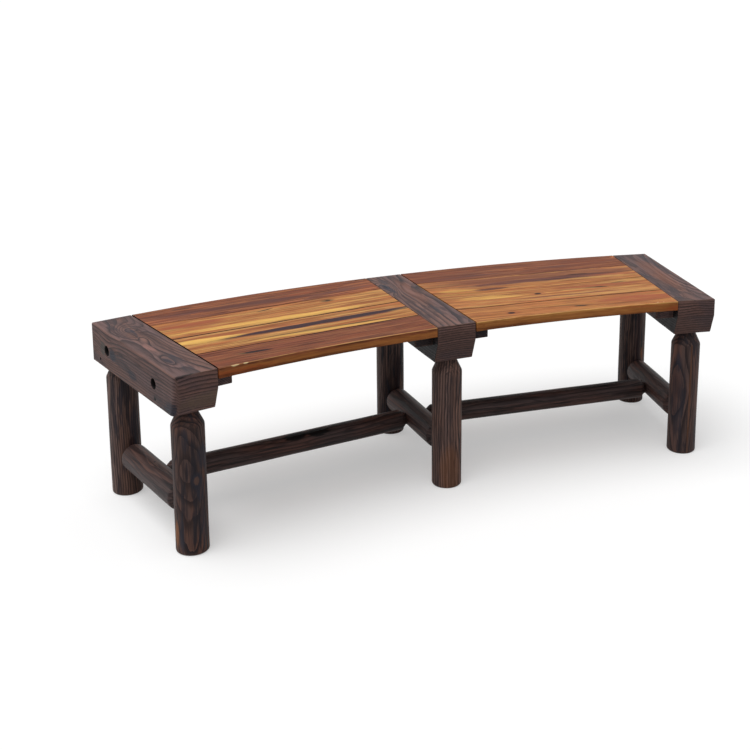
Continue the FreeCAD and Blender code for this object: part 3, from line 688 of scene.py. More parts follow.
def beam(name, radii, corner, lean, material):
    """An eased bar along its radius, lowered by slow swells away from its ends, its front end
    undercut, and bored from outside if it stands at an end of the bench."""
    turn = TURNS[name]
    bored = HOLES if turn else ()
    rows = [patch_lines(height, radius) for _, height, radius, _ in bored[1:]]
    rows.append([] if turn else KINK + BY_KINK)
    heights = fill(rows, UNDERSIDE + SIDE_EDGE, SEAT_HEIGHT - SIDE_EDGE, SIDE_STEP)
    widths = spread(-BEAM_WIDTH / 2, BEAM_WIDTH / 2, TOP_EDGE, 18)
    loop = section(BEAM_WIDTH / 2, UNDERSIDE, SEAT_HEIGHT, radii, widths, heights)
    columns = [patch_lines(spot, radius) for spot, _, radius, _ in bored]
    columns.append(-BEAM_LENGTH + ROUND_LINES)
    lines = fill(columns, -BEAM_LENGTH + FRONT_EDGE, -BACK_EDGE, LENGTH_STEP)
    shape, normals = bar(loop, -BEAM_LENGTH, 0.0, lines, (0, KINK))
    wear = arris_wear(shape)
    rings = shape[..., [0, 2, 1]]
    from_front = rings[..., 1] + BEAM_LENGTH
    inside = np.clip(np.minimum(-rings[..., 1], from_front) / 0.01, 0, 1)
    worn = BEAM_WEAR * swell(rings, 10 + turn, BEAM_SWELL) * inside
    rings[..., 0] -= worn * normals[:, 0]
    rings[..., 2] -= worn * normals[:, 1]
    if corner:
        round_corner(rings, from_front, corner)
    undercut(rings, from_front)
    grain = timber(rings, UNDERSIDE)
    level_lines(grain, lean)
    for hole in bored:
        patch, deep = bore(rings, turn, hole)
        # Painted shade: deep in a hole the wear value is -1, which takes the wall and floor to near
        # black.
        wear[patch] = np.where(deep, -1, wear[patch])
    make_piece(
        f"{name}_beam", f"beam_{name}", stand(rings, turn), grain, wear, material
    )


# %% [markdown]
# Each beam has its own knots, stains and scorched places, given in the timber's places, so they stay
# with the wood. On the middle and right beams a mark paints shade on the left side under the seat. A
# knot without a dark heart only lifts or sinks the sleeves, which draws an arch. The marks are
# listed, one for each thing that is told at a glance, and noise does the rest.

# %% Colours of the scorched wood and of painted shade
BLUE_BLACK = colour(48, 47, 56)
# Soot on the beams' front ends and along an arris, and also painted shade on the inner battens.
SOOT_AND_SHADE = colour(36, 29, 31)
OLIVE_GREY = colour(112, 91, 76)
RUST = colour(132, 82, 60)
PINK = colour(146, 106, 98)
STAIN = colour(62, 64, 60)
# A near black that paints shade: on the beams' sides under the seat and on the inner battens.
SEAT_SHADE_BLACK = colour(34, 32, 34)

# %% Looks, knots and marks of the beams
TOP = BEAM_DEPTH
LEFT = -BEAM_WIDTH / 2
# Painted shade: the left sides of the middle and right beams under the seat go near black.
UNDER_SEAT_SHADE = (0.2, LEFT, 0.025), (0.6, 0.008, 0.06), 0, 1.3, SEAT_SHADE_BLACK
TOP_LINES = (0.2, 0.07, 0.1), (0.15, 0.055, 0.05), 0.034, 0.0
WIDENING = (0.22, 0.02, 0.13), (0.3, 0.1, 0.04), -0.03, 0.0
beam_looks = {
    "left": dict(CHARRED, spacing=0.0064),
    "middle": dict(CHARRED, pith_angle=118, late=colour(34, 25, 28), late_share=1.0, bend=0.011),
    "right": dict(CHARRED, pith_angle=86, spacing=0.0066),
}
beam_knots = {
    "left": [
        TOP_LINES,
        WIDENING,
        ((0.107, -0.003, TOP), (0.032, 0.02, 0.03), 0.034, 0.8),
        ((0.16, 0.002, TOP), (0.03, 0.008, 0.02), -0.012, 0.0),
        ((0.335, -0.015, TOP), (0.03, 0.009, 0.02), 0.012, 0.0),
        ((0.083, LEFT, 0.047), (0.035, 0.02, 0.018), 0.012, 0.0),
    ],
    "middle": [
        ((0.095, -0.03, TOP), (0.035, 0.014, 0.03), 0.026, 1.0),
        ((0.14, -0.005, TOP), (0.05, 0.02, 0.03), -0.008, 0.0),
    ],
    "right": [TOP_LINES],
}
beam_marks = {
    "left": [
        ((0.13, 0.0, TOP), (0.03, 0.004, 0.01), -0.1, 0.8, BLUE_BLACK),
        ((0.235, -0.012, TOP), (0.03, 0.009, 0.01), 0.05, 0.45, PINK),
        ((0.335, -0.015, TOP), (0.022, 0.006, 0.01), 0.1, 0.9, BLUE_BLACK),
        ((0.062, LEFT, 0.044), (0.02, 0.01, 0.018), 0, 0.8, STAIN),
        ((0.115, LEFT, 0.044), (0.02, 0.01, 0.016), 0, 1.1, BLUE_BLACK),
        ((0.221, LEFT, 0.03), (0.024, 0.01, 0.011), 0, 0.9, BLUE_BLACK),
        ((0.41, -0.05, 0.014), (0.03, 0.02, 0.018), 0, 0.95, BLUE_BLACK),
        ((0.432, -0.024, 0.089), (0.005, 0.026, 0.006), 0, 1.2, SOOT_AND_SHADE),
        ((0.335, LEFT, 0.0135), (0.0055, 0.01, 0.0042), 0, 3.0, HOLLOW),
        ((0.434, 0.015, 0.02), (0.02, 0.05, 0.024), 0, 0.7, OLIVE_GREY),
    ],
    "middle": [
        UNDER_SEAT_SHADE,
        ((0.434, 0, 0.03), (0.03, 0.07, 0.05), 0, 0.4, SOOT_AND_SHADE),
        ((0.15, 0.01, TOP), (0.12, 0.02, 0.02), 0, 0.3, RUST),
        ((0.11, -0.032, TOP), (0.05, 0.01, 0.02), 0.1, 0.8, BLUE_BLACK),
    ],
    "right": [
        UNDER_SEAT_SHADE,
        ((0.434, 0, 0.03), (0.03, 0.07, 0.05), 0, 0.35, SOOT_AND_SHADE),
        ((0.2, 0.0, TOP), (0.15, 0.025, 0.02), 0, 0.4, RUST),
    ],
}
print("marks on the beams", {name: len(marks) for name, marks in beam_marks.items()})

# %% Set the beams
beam_forms = {
    "left": ((0.0015, 0.002, 0.003, 0.0024), 0.014, -10),
    "middle": ((0.0015, 0.002, 0.002, 0.0015), 0, 22),
    "right": ((0.0024, 0.003, 0.002, 0.0015), 0, -3),
}
for name, turn in TURNS.items():
    knots, marks = beam_knots[name], beam_marks[name]
    timber_wood = wood(f"charred_{name}", beam_looks[name], 2.0 + turn, knots, marks)
    beam(name, *beam_forms[name], timber_wood)

# %% [markdown]
# Each panel has four boards with a dark gap between them. Their ends are cut along the beams, and the
# back and front boards follow the circle. Each could be cut out of a larger board, but a straight bar
# that is drawn in x by the slant of the beams and in y by the sag of the arc keeps its eased edges.

# %% Sizes of the boards
BOARD_THICKNESS = 0.022
FRONT_BOARD = 0.0912
BOARD_JOINT = 0.0006
BOARD_OVERHANG = 0.002
END_OFFSET = BEAM_WIDTH / 2 + 0.0015
FRONT_RADIUS = ARC_RADIUS - BEAM_LENGTH - BOARD_OVERHANG
BOARD_WIDTH = (BEAM_LENGTH + BOARD_OVERHANG - FRONT_BOARD) / 3 - BOARD_JOINT
BOARD_NAMES = ("back", "middle_back", "middle_front", "front")
BOARD_ROUND = 0.0012
BOARD_END_EDGE = 0.0005
BOARD_WEAR = 0.00035
BOARD_SWELL = 0.07
ARRIS_REACH = 0.0022
JOINT_DEPTH = 0.006
print("board width", round(BOARD_WIDTH, 4))


# %% Painted highlight, wear and painted shade of a board
def board_highlight_and_shade(shape, half, reach, panel, order):
    """The front arris of the front board gets a pale painted highlight, on the left panel more and
    more towards the right, and other arrises hardly. The upper part of the ends gets painted shade,
    as it lies in the joint."""
    wear = arris_wear(shape, ARRIS_REACH) * np.where((shape[..., 0] > 0) & (order == 3), 1, 0.2)
    hidden = len(CAP_SCALES) + ARC_STEPS
    in_joint = shape[..., 1] > SEAT_HEIGHT - JOINT_DEPTH
    dark = np.where(in_joint, -1 if panel == "left" else -0.6, 0)
    dark = np.where((order == 3) & (shape[..., 0] > half - JOINT_DEPTH), 0, dark)
    wear[:hidden] = dark[:hidden]
    wear[-hidden:] = dark[-hidden:]
    if panel == "left":
        growing = np.clip(0.3 + (shape[..., 2] + reach) / 0.25, 0, 1)
        wear = np.where(wear > 0, wear * growing, wear)
    return wear


# %% One board
def board(panel, order, material):
    """An eased bar along the panel. The back and front boards sag with the arc by the root of the
    squared radius less squared x, and every board's half length is the distance to the beam. Each
    of the two depends on the other, so they are worked out twice."""
    name = BOARD_NAMES[order]
    back = -order * (BOARD_WIDTH + BOARD_JOINT)
    front = back - BOARD_WIDTH if order < 3 else FRONT_RADIUS - ARC_RADIUS
    half = (back - front) / 2
    middle = (back + front) / 2
    slant, beside = math.tan(HALF_TURN), END_OFFSET / math.cos(HALF_TURN)
    reach = (ARC_RADIUS + middle) * slant - beside
    low = SEAT_HEIGHT - BOARD_THICKNESS
    widths = spread(-half, half, 0.0025, 14)
    heights = spread(low, SEAT_HEIGHT, 0.002, 3, 0.0008)
    loop = section(half, low, SEAT_HEIGHT, (BOARD_ROUND,) * 4, widths, heights)
    shape, normals = bar(loop, -reach, reach, spread(-reach, reach, BOARD_END_EDGE, 90))
    wear = board_highlight_and_shade(shape, half, reach, panel, order)
    x, y, z = shape[..., 2], -shape[..., 0] + middle, shape[..., 1]
    seed = 20 + order + 5 * (PANELS[panel] > 0)
    inside = np.clip((reach - np.abs(x)) / 0.01, 0, 1)
    worn = BOARD_WEAR * swell(shape * (1, 1, 0.4), seed, BOARD_SWELL) * inside
    y = y + worn * normals[:, 0]
    z = z - worn * normals[:, 1]
    share = (y - front) / (back - front)
    drawn, sagged = x, y
    for _ in range(2):
        if order == 0:
            sagged = y + share * (np.sqrt(ARC_RADIUS**2 - drawn * drawn) - ARC_RADIUS)
        if order == 3:
            sagged = y + (1 - share) * (np.sqrt(FRONT_RADIUS**2 - drawn * drawn) - FRONT_RADIUS)
        drawn = x * ((ARC_RADIUS + sagged) * slant - beside) / reach
    rings = stand(np.stack((drawn, sagged, z), axis=-1), PANELS[panel])
    grain = np.stack((drawn, sagged, z - low), axis=-1)
    node = f"board_{panel}_{name}"
    make_piece(f"{panel}_board_{name}", node, rings, grain, wear, material)


# %% [markdown]
# The boards' figure is drawn with strokes on the bench's plan: dark lenses, burnt knots with a ring
# about them, and honey streaks where the oil took well. Each stroke is a mark with soft ends: two
# points on the plan in millimetres, half its width, its strength and its colour. Later strokes lie
# over earlier ones. A painted image would do this too, but it would be one more file to carry along.

# %% Strokes on the seat
def stroke(turn, start, end, wide, strength, paint):
    """A mark on the seat, drawn on the bench's plan from one point to another, given in millimetres:
    the plan is turned back into the panel's own frame."""
    angle = END_TURN * turn
    ends = []
    for x, y in (start, end):
        x, y = x / 1000, y / 1000 - CENTRE_Y
        out = x * math.sin(angle) + y * math.cos(angle) - ARC_RADIUS
        ends.append((x * math.cos(angle) - y * math.sin(angle), out))
    (ax, ay), (bx, by) = ends
    length = math.hypot(bx - ax, by - ay) / 2
    centre = ((ax + bx) / 2, (ay + by) / 2, BOARD_THICKNESS)
    return centre, (length, wide / 1000, 0.012), math.atan2(by - ay, bx - ax), strength, paint


# %% Colours and looks of the boards
PURPLE = colour(96, 58, 50)
BROWN = colour(126, 76, 54)
BLACK = colour(36, 22, 26)
HONEY = colour(220, 172, 92)
RED = colour(152, 82, 54)
OLIVE = colour(88, 72, 46)
LENS = colour(60, 42, 48)
CREAM = colour(214, 190, 142)
SPOT = colour(196, 116, 62)
EMBER = colour(152, 80, 46)
FACE = colour(157, 99, 54)
SHADE = colour(98, 56, 36)
board_looks = {
    ("left", "back"): dict(OILED, streaks=0.95),
    ("left", "middle_back"): dict(GOLDEN, char_share=0.8),
    ("left", "middle_front"): dict(GOLDEN, char_share=0.8),
    ("left", "front"): dict(OILED, early=colour(148, 92, 60), streaks=0.9),
    ("right", "back"): dict(OILED, early=colour(148, 92, 62), early_other=colour(128, 72, 50)),
    ("right", "middle_back"): dict(GOLDEN, streaks=0.9),
    ("right", "middle_front"): dict(GOLDEN, char_share=0.8, streaks=0.9),
    ("right", "front"): dict(GOLDEN, char_share=0.9, early=colour(188, 130, 72), streaks=0.9),
}

# %% Figure of the boards
board_marks = {
    ("left", "back"): [
        ((-640, 144), (-160, 175), 15, 1.2, PURPLE),
        ((-200, 172), (-40, 192), 9, 0.8, PURPLE),
        ((-563, 184), (-503, 191), 3.5, 1.1, BLACK),
        ((-290, 190), (-200, 196), 5, 0.6, RED),
    ],
    ("left", "middle_back"): [
        ((-625, 128), (-330, 141), 12, 0.7, PURPLE),
        ((-640, 58), (-450, 68), 22, 1.0, RED),
        ((-380, 93), (-336, 107), 3, 1.4, BLACK),
        ((-222, 110), (-182, 113), 9, 0.8, OLIVE),
        ((-208, 111), (-194, 112), 4, 1.4, BLACK),
        ((-625, 5), (-70, 46), 13, 1.1, HONEY),
    ],
    ("left", "middle_front"): [
        ((-600, -40), (-300, -22), 12, 0.6, RED),
        ((-600, -72), (-40, -13), 4, 1.1, PURPLE),
        ((-625, -62), (-440, -52), 16, 1.2, HONEY),
        ((-120, -24), (-30, -16), 9, 0.9, HONEY),
        ((-510, -65), (16, -6), 14, 1.5, LENS),
        ((-520, -66), (-330, -44), 5, 1.2, LENS),
        ((-190, -31), (-66, -17), 6, 1.4, LENS),
        ((-463, -92), (-80, -66), 5, 0.9, OLIVE),
        ((-463, -102), (-80, -76), 7, 0.9, HONEY),
    ],
    ("left", "front"): [
        ((-505, -170), (-440, -167), 6, 0.8, OLIVE),
        ((-490, -168), (-420, -165), 6, 1.4, BLACK),
        ((-400, -190), (-120, -165), 4, 0.5, PURPLE),
    ],
    ("right", "back"): [
        ((420, 156), (483, 155), 6, 0.85, PURPLE),
        ((60, 168), (300, 160), 7, 0.9, PURPLE),
        ((300, 130), (600, 95), 7, 0.8, PURPLE),
        ((630, 178), (665, 172), 6, 1.0, SPOT),
    ],
    ("right", "middle_back"): [
        ((0, 124), (680, 52), 38, 1.0, BROWN),
        ((120, 82), (640, 40), 16, 1.1, PURPLE),
        ((300, 64), (560, 28), 4, 0.8, BLACK),
        ((150, 42), (250, 36), 9, 1.1, PURPLE),
        ((60, 62), (170, 50), 10, 0.6, HONEY),
        ((431, 72), (493, 65), 4, 1.2, BLACK),
        ((460, 50), (620, 20), 9, 0.6, RED),
    ],
    ("right", "middle_front"): [
        ((258, -42), (308, -46), 10, 0.6, RED),
        ((273, -43), (293, -43), 6, 1.25, BLACK),
        ((80, -10), (240, -40), 14, 0.7, HONEY),
        ((415, -45), (475, -60), 5, 0.9, OLIVE),
        ((440, -50), (472, -59), 3, 1.2, BLACK),
        ((490, -36), (545, -32), 5, 0.7, OLIVE),
        ((330, -20), (600, -60), 11, 0.9, RED),
        ((200, -60), (520, -100), 4, 0.9, PURPLE),
    ],
    ("right", "front"): [
        ((134, -150), (176, -153), 11, 0.6, RED),
        ((142, -151), (162, -152), 7, 1.25, BLACK),
        ((309, -165), (345, -172), 4, 1.4, BLACK),
        ((266, -150), (375, -172), 6, 0.5, OLIVE),
        ((370, -150), (600, -190), 24, 1.0, RED),
        ((570, -196), (680, -220), 22, 1.2, EMBER),
    ],
}
print("strokes on the seat", sum(len(marks) for marks in board_marks.values()))

# %% [markdown]
# Three small things finish the boards: dirt along the joints, a front face that is browner than the
# top, and a few pale chips in the front arris. They are marks like the others.

# %% Joints, front face and chips
JOINT_SHADE = {"left": (0.4, 1.5, 1.2), "right": (0.2, 0.5, 0.8)}
REDDER = {"left": (-0.3, 0.17), "right": (0.3, 0.09)}
EDGE_SLOPE = 0.38


def joint_marks(panel, order):
    """The dirt that darkens the arrises on both sides of a board, where it meets the next one."""
    marks = []
    for joint, strength in enumerate(JOINT_SHADE[panel]):
        if joint in (order - 1, order):
            edge = -(joint + 1) * (BOARD_WIDTH + BOARD_JOINT)
            marks.append(((0, edge, BOARD_THICKNESS), (1.2, 0.0027, 0.012), 0, strength, BLACK))
    return marks


def nick(turn, x, y, length):
    """A small pale chip in the front arris, placed on the bench's plan in millimetres."""
    end = (x + length, y - EDGE_SLOPE * turn * length)
    centre, _, lean, strength, paint = stroke(turn, (x, y), end, 2, 1.6, CREAM)
    return centre, (length / 2000, 0.0016, 0.003), lean, strength, paint


def front_marks(end, reach):
    """The front face is browner than the top, red near one end of the panel and dark low down."""
    return [
        ((0, 0, 0.005), (9, 9, 0.0125), 0, 1.0, FACE),
        ((end, 0, 0.005), (reach, 9, 0.0125), 0, 0.9, EMBER),
        ((-0.3, 0, 0.0), (0.6, 9, 0.008), 0, 0.8, SHADE),
    ]


# %% Lay the boards
nicks = {"left": [(-530, -231, 20), (-502, -226, 11)], "right": [(505, -220, 5), (520, -223, 4)]}
for panel, turn in PANELS.items():
    for order, name in enumerate(BOARD_NAMES):
        seed = 5 + order + 10 * (turn > 0)
        marks = [stroke(turn, *mark) for mark in board_marks[panel, name]]
        marks += joint_marks(panel, order)
        if name == "front":
            marks += front_marks(*REDDER[panel]) + [nick(turn, *chip) for chip in nicks[panel]]
        finish = wood(f"oiled_{panel}_{order}", board_looks[panel, name], seed, (), marks)
        board(panel, order, finish)

# %% [markdown]
# Legs, cross stretchers and long stretchers are logs. A leg has a coned shoulder that meets the beam,
# and its foot is bevelled a little so that it won't split. Stretchers end in short cones whose necks
# go on into the log they join, as the tenons do. A cylinder would need all this cut into it, while a
# profile has it from the start.

# %% Sizes of the logs
LEG_RADIUS = 0.035
LEG_NECK = 0.019
LEG_SHOULDER = 0.034
LEG_POLE = 0.004
FOOT_BEVEL = 0.003
TENON_DRAWN = 0.012
RAIL_POLE = 0.003
CROSS_RADIUS = 0.0305
CROSS_NECK = 0.017
CROSS_SHOULDER = 0.013
CROSS_HEIGHT = 0.0985
LONG_RADIUS = 0.0245
LONG_NECK = 0.015
LONG_SHOULDER = 0.012
LONG_HEIGHT = 0.095
LONG_INSET = 0.199
print("leg", LEG_RADIUS * 2, "cross", CROSS_RADIUS * 2, "long", LONG_RADIUS * 2, "thick")


# %% Legs
def place_log(piece, node, shape, axes, shift, turn, material, wear):
    """Stand or lay a log: its own axes are swapped, and it is moved to its place on a radius and
    turned with it. Its fibres run along it."""
    rings = stand(shape[..., axes] + np.array(shift), turn)
    make_piece(piece, node, rings, shape[..., [2, 0, 1]], wear, material)


def leg(name, end, material, seed):
    """A log on end: foot, straight stem, cone and the first of the tenon, inside the beam."""
    corners = [
        (0.0, LEG_POLE),
        (0.0, LEG_RADIUS - FOOT_BEVEL),
        (FOOT_BEVEL, LEG_RADIUS),
        (UNDERSIDE - LEG_SHOULDER, LEG_RADIUS),
        (UNDERSIDE - 0.0005, LEG_NECK),
        (UNDERSIDE + TENON_DRAWN, LEG_NECK),
        (UNDERSIDE + TENON_DRAWN, LEG_POLE),
    ]
    shape = log(soft_profile(corners, (0, 0.001, 0.002, 0.003, 0.002, 0, 0)), seed)
    wear = np.clip(1 - np.abs(shape[..., 2] - FOOT_BEVEL) / (2 * FOOT_BEVEL), 0, 1)
    piece, node = f"{name}_leg_{end}", f"leg_{name}_{end}"
    place_log(piece, node, shape, [0, 1, 2], (0, LEG_SPOTS[end], 0), TURNS[name], material, wear)


# %% Stretchers
def stretcher(half, radius, neck, shoulder, seed):
    """A log with equal ends, its profile walked from one tenon over neck, cone and stem to the other
    tenon, and no wear."""
    right = [
        (half + TENON_DRAWN, RAIL_POLE),
        (half + TENON_DRAWN, neck),
        (half, neck),
        (half - shoulder, radius),
    ]
    left = [(-along, wide) for along, wide in right]
    profile = soft_profile(left + right[::-1], (0, 0, 0.001, 0.003, 0.003, 0.001, 0, 0))
    shape = log(profile, seed)
    return shape, np.zeros(shape.shape[:2])


def cross_stretcher(name, material, seed):
    """A log along the radius, between the two legs of a beam."""
    back = LEG_SPOTS["back"] - LEG_RADIUS
    front = LEG_SPOTS["front"] + LEG_RADIUS
    shape, wear = stretcher((back - front) / 2, CROSS_RADIUS, CROSS_NECK, CROSS_SHOULDER, seed)
    piece, node = f"{name}_cross_stretcher", f"cross_stretcher_{name}"
    shift = (0, (back + front) / 2, CROSS_HEIGHT)
    place_log(piece, node, shape, [0, 2, 1], shift, TURNS[name], material, wear)


def long_stretcher(panel, material, seed):
    """A log across the panel's radius, between two cross stretchers."""
    half = (ARC_RADIUS - LONG_INSET) * math.sin(HALF_TURN) - CROSS_RADIUS
    out = (ARC_RADIUS - LONG_INSET) * math.cos(HALF_TURN) - ARC_RADIUS
    shape, wear = stretcher(half, LONG_RADIUS, LONG_NECK, LONG_SHOULDER, seed)
    piece, node = f"{panel}_long_stretcher", f"long_stretcher_{panel}"
    place_log(piece, node, shape, [2, 0, 1], (0, out, LONG_HEIGHT), PANELS[panel], material, wear)


# %% [markdown]
# The logs show the scorching most: nearly black streaks, and pale wood where they were scraped. A few
# blots put the darkest places where they are on the real bench, and a dark dot on each end cross
# stretcher is the head of its lock screw.

# %% Blots
ORANGE = colour(140, 92, 60)
BROWN_GREY = colour(106, 80, 70)


def blot(height, angle, length, wide, strength, paint, radius=LEG_RADIUS):
    """A mark on a log, at a height and an angle round it, both half sizes in metres."""
    turn = math.radians(angle)
    centre = (height, radius * math.cos(turn), radius * math.sin(turn))
    return centre, (length, wide, wide), 0, strength, paint


# %% Looks and blots of the legs
leg_looks = {
    ("left", "front"): dict(LOG_LOOK, pith_angle=-127, spacing=0.0056, pith_lean=0.12, bend=0.014),
    ("middle", "front"): dict(STRIPED, pith_angle=-22),
    ("right", "front"): dict(
        LOG_LOOK,
        pith_angle=-140, waist=0.16, spacing=0.0056, pith_lean=0.07, early=colour(114, 82, 72),
    ),
    ("left", "back"): dict(STRIPED, pith_angle=-10, spacing=0.005, char_share=0.75, early=BROWN_GREY),
    ("middle", "back"): dict(STRIPED, pith_angle=-40, char_share=0.9, early=colour(70, 52, 48)),
    ("right", "back"): dict(STRIPED, pith_angle=-30, char_share=0.9, early=colour(88, 62, 54)),
}
leg_marks = {
    ("left", "front"): [
        blot(0.255, -127, 0.03, 0.008, 0.6, BLUE_BLACK),
        blot(0.213, -58, 0.03, 0.02, 0.85, BLUE_BLACK),
        blot(0.150, -80, 0.035, 0.012, 0.85, BLUE_BLACK),
        blot(0.165, -92, 0.02, 0.014, 0.85, BLUE_BLACK),
        blot(0.165, -92, 0.01, 0.008, 0.8, BROWN_GREY),
        blot(0.060, -72, 0.06, 0.006, 0.7, BLUE_BLACK),
        blot(0.050, -150, 0.05, 0.006, 0.7, BLUE_BLACK),
        blot(0.045, -176, 0.03, 0.007, 0.8, ORANGE),
    ],
    ("middle", "front"): [blot(0.04, -100, 0.07, 0.03, 0.35, ORANGE)],
    ("right", "front"): [
        blot(0.235, -139, 0.028, 0.008, 0.6, BLUE_BLACK),
        blot(0.150, -88, 0.2, 0.003, 0.3, ORANGE),
        blot(0.150, -140, 0.12, 0.02, 0.45, BLUE_BLACK),
    ],
    ("left", "back"): [
        blot(0.16, -70, 0.06, 0.016, 0.8, BLUE_BLACK),
        blot(0.13, -85, 0.012, 0.008, 0.8, BLACK),
    ],
    ("middle", "back"): [blot(0.16, -80, 0.06, 0.01, 0.9, BLACK)],
    ("right", "back"): [
        blot(0.2, -85, 0.12, 0.008, 0.85, BLACK),
        blot(0.14, -60, 0.02, 0.005, 0.7, ORANGE),
    ],
}
print("blots on the legs", sum(len(blots) for blots in leg_marks.values()))

# %% Set the legs and stretchers
rail_tones = {
    "left": {"early": colour(92, 66, 59), "early_other": colour(82, 68, 66)},
    "middle": {},
    "right": {},
}
burnt = [blot(x, 118, 0.03, 0.012, 2.0, HOLLOW, LONG_RADIUS) for x in (0.005, 0.06)]
long_marks = {"left": burnt, "right": []}
screw_head = blot(0.006, 90, 0.003, 0.003, 1.7, HOLLOW, CROSS_RADIUS)
for name, turn in TURNS.items():
    for end in LEG_SPOTS:
        seed = 30 + 2 * turn + (end == "front")
        finish = wood(f"log_{name}_{end}", leg_looks[name, end], seed, (), leg_marks[name, end])
        leg(name, end, finish, seed)
    look = dict(RAIL, **rail_tones[name], pith_angle=60)
    finish = wood(f"rail_{name}", look, 40 + turn, (), [screw_head] if turn else [])
    cross_stretcher(name, finish, 40 + turn)
for panel, turn in PANELS.items():
    seed = 50 + int(turn > 0)
    look = dict(RAIL, pith_angle=30)
    finish = wood(f"long_rail_{panel}", look, seed, (), long_marks[panel])
    long_stretcher(panel, finish, seed)

# %% [markdown]
# Battens carry the ends of the boards, flat against the beams. They are plain eased bars like the
# beams, so nothing new is needed. The inner ones lie in the shade of the middle beam, and that shade
# is painted into their finish as a darker colour.

# %% One batten
BATTEN_WIDTH = 0.044
BATTEN_THICKNESS = 0.027
BATTEN_INSET = 0.026
BATTEN_ROUND = 0.0015
BATTEN_EDGE = 0.004


def batten(panel, mate, material):
    """An eased bar beside its beam, under the boards."""
    end = "outer" if panel == mate else "inner"
    side = -TURNS[panel] if panel == mate else TURNS[panel]
    top = SEAT_HEIGHT - BOARD_THICKNESS
    low = top - BATTEN_THICKNESS
    half = BATTEN_WIDTH / 2
    widths = spread(-half, half, BATTEN_EDGE, 4)
    heights = spread(low, top, BATTEN_EDGE, 3)
    loop = section(half, low, top, (BATTEN_ROUND,) * 4, widths, heights)
    front, back = BATTEN_INSET - BEAM_LENGTH, -BATTEN_INSET
    shape, _ = bar(loop, front, back, spread(front, back, BATTEN_EDGE, 40))
    rings = shape[..., [0, 2, 1]] + np.array((side * (BEAM_WIDTH / 2 + half), 0, 0))
    grain, wear = timber(rings, low), arris_wear(shape)
    piece, node = f"{panel}_batten_{end}", f"batten_{panel}_{end}"
    make_piece(piece, node, stand(rings, TURNS[mate]), grain, wear, material)


# %% Set the battens
narrow = dict(CHARRED, spacing=0.004)
outer_wood = wood("batten_outer", dict(narrow, early=colour(78, 60, 56)), 60)
# Painted shade: the inner battens' finish is a darker copy of the outer one.
shaded_inner_wood = wood("batten_inner_shaded", dict(narrow, early=SEAT_SHADE_BLACK, early_other=SOOT_AND_SHADE), 61)
for panel in PANELS:
    batten(panel, panel, outer_wood)
    batten(panel, "middle", shaded_inner_wood)

# %% [markdown]
# The fasteners are plated steel. They sit in the counterbores and under the seat, and the shade there
# is painted into them: a dark metal with a cloudy roughness is used on the imported pieces, whose
# shapes are already right.

# %% Zinc darkened as painted shade
def shaded_zinc():
    """A plated steel darkened as painted shade, its tone and polish clouded by noise."""
    graph = Graph(bpy.data.materials.new("shaded_zinc"))
    place = graph.node("ShaderNodeTexCoord", None, None, "Object")
    cloud = graph.noise(place, (0.003, 0.003, 0.003), 1, 3.0)
    inputs = {"Strength": 0.3, "Distance": 0.0001, "Height": cloud}
    return graph.finish({
        "Base Color": graph.mix(cloud.step(0.3, 0.7), colour(58, 56, 55), colour(34, 33, 33)),
        "Metallic": 0.9,
        "Roughness": 0.35 + cloud * 0.3,
        "Normal": graph.node("ShaderNodeBump", None, inputs),
    })


# %% Finish the fasteners
zinc = shaded_zinc()
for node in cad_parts.values():
    if not node.hide_render:
        node.data.materials.clear()
        node.data.materials.append(zinc)
        print(node.name, "in dull zinc")

# %% [markdown]
# The bench stands on a plain pale floor in soft studio light: a wide soft sun from above, a little
# from the left, and a pale surround. White comes from what the camera sees, not from stronger light:
# Light Path tells whether a ray comes from the camera, also by way of a reflection or through glass,
# and only those rays see the floor and the surround as white. The floor keeps the bench's shadow.

# %% White to the camera
def seen_rays(graph):
    """1 for the rays by which the camera sees a thing, directly, reflected or through glass, and 0
    for the light that falls on the bench."""
    rays = ("Is Camera Ray", "Is Glossy Ray", "Is Transmission Ray")
    camera, glossy, through = (graph.node("ShaderNodeLightPath", None, None, ray) for ray in rays)
    return camera + glossy + through


def grey(level):
    """A neutral colour."""
    return level, level, level, 1


# %% Floor
FLOOR_REACH = 60


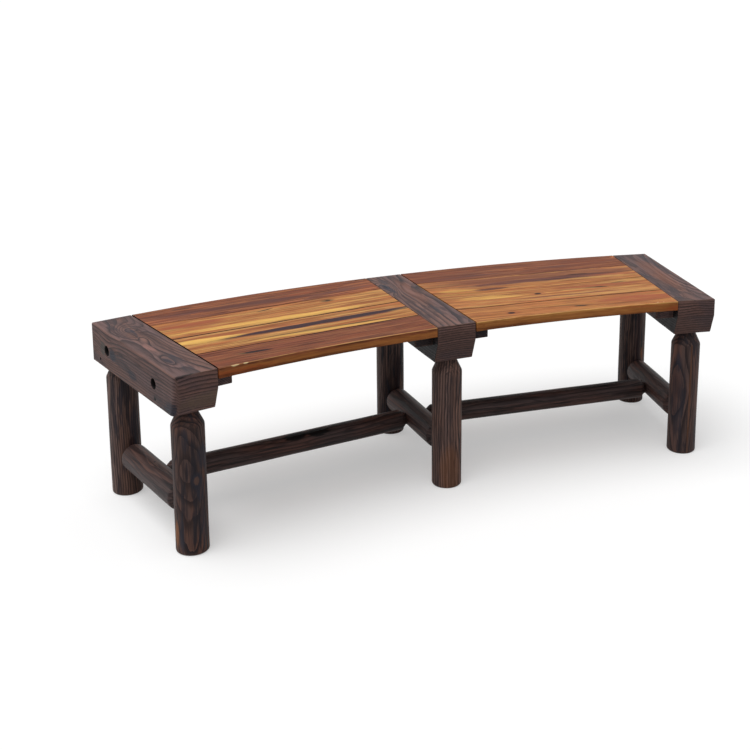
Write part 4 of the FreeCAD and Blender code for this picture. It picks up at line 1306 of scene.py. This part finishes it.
def pale_floor():
    """A wide plane that is white to the camera and grey to the light that it throws back. Part of the
    white is a glow, which keeps the bench's shadow light."""
    mesh = bpy.data.meshes.new("floor")
    corners = [(x * FLOOR_REACH, y * FLOOR_REACH, 0) for x, y in ((-1, -1), (1, -1), (1, 1), (-1, 1))]
    mesh.from_pydata(corners, [], [(0, 1, 2, 3)])
    graph = Graph(bpy.data.materials.new("pale_floor"))
    seen = seen_rays(graph)
    mesh.materials.append(graph.finish({
        "Base Color": graph.mix(seen, grey(0.45), grey(0.6)),
        "Emission Color": graph.mix(seen, grey(0), grey(0.4)),
        "Emission Strength": 1.0,
        "Roughness": 0.9,
        "Specular IOR Level": 0.0,
    }))
    add("floor", mesh)


# %% Surround
def surround(strength):
    """A pale surround that lights the bench softly and is plain white to the camera."""
    world = bpy.data.worlds.new("surround")
    bpy.context.scene.world = world
    graph = Graph(world)
    inputs = {"Value": seen_rays(graph), "To Min": strength, "To Max": 1.0}
    level = graph.node("ShaderNodeMapRange", None, inputs)
    background = graph.node("ShaderNodeBackground", None, {"Color": grey(1), "Strength": level})
    graph.node("ShaderNodeOutputWorld", None, {"Surface": background})


# %% Sun
def soft_sun(strength, spread_angle, toward):
    """A sun of a wide disc, which shines evenly on the whole floor and throws soft shadows."""
    light = bpy.data.lights.new("soft_sun", "SUN")
    light.energy = strength
    light.angle = math.radians(spread_angle)
    lamp = add("soft_sun", light)
    lamp.rotation_euler = Vector(toward).to_track_quat("-Z", "Y").to_euler()
    print("sun", strength, "over", spread_angle, "degrees")


# %% Light the stage
pale_floor()
surround(0.336)
soft_sun(2.4, 55, (0.3, 0.05, -0.95))

# %% [markdown]
# The camera stands where the photo was taken from: to the left of the bench, looking a little down on
# it. Its place and lens were worked out from the corners of the bench and its real length, depth and
# height. The shift frames the bench and leaves the perspective as it is, which a turn would not.

# %% Camera
camera = bpy.data.cameras.new("photo")
camera.lens = 57.095
camera.sensor_width = 36
camera.shift_x = -0.0615
camera.shift_y = -0.2363
viewer = add("photo", camera)
viewer.location = (-1.1043, -2.4558, 1.2311)
viewer.rotation_euler = (math.radians(90 - 12.1), 0, math.radians(-24.073))
bpy.context.scene.camera = viewer
bpy.context.scene.view_settings.view_transform = "Standard"
print("camera", [round(v, 3) for v in viewer.location], "lens", round(camera.lens, 2))
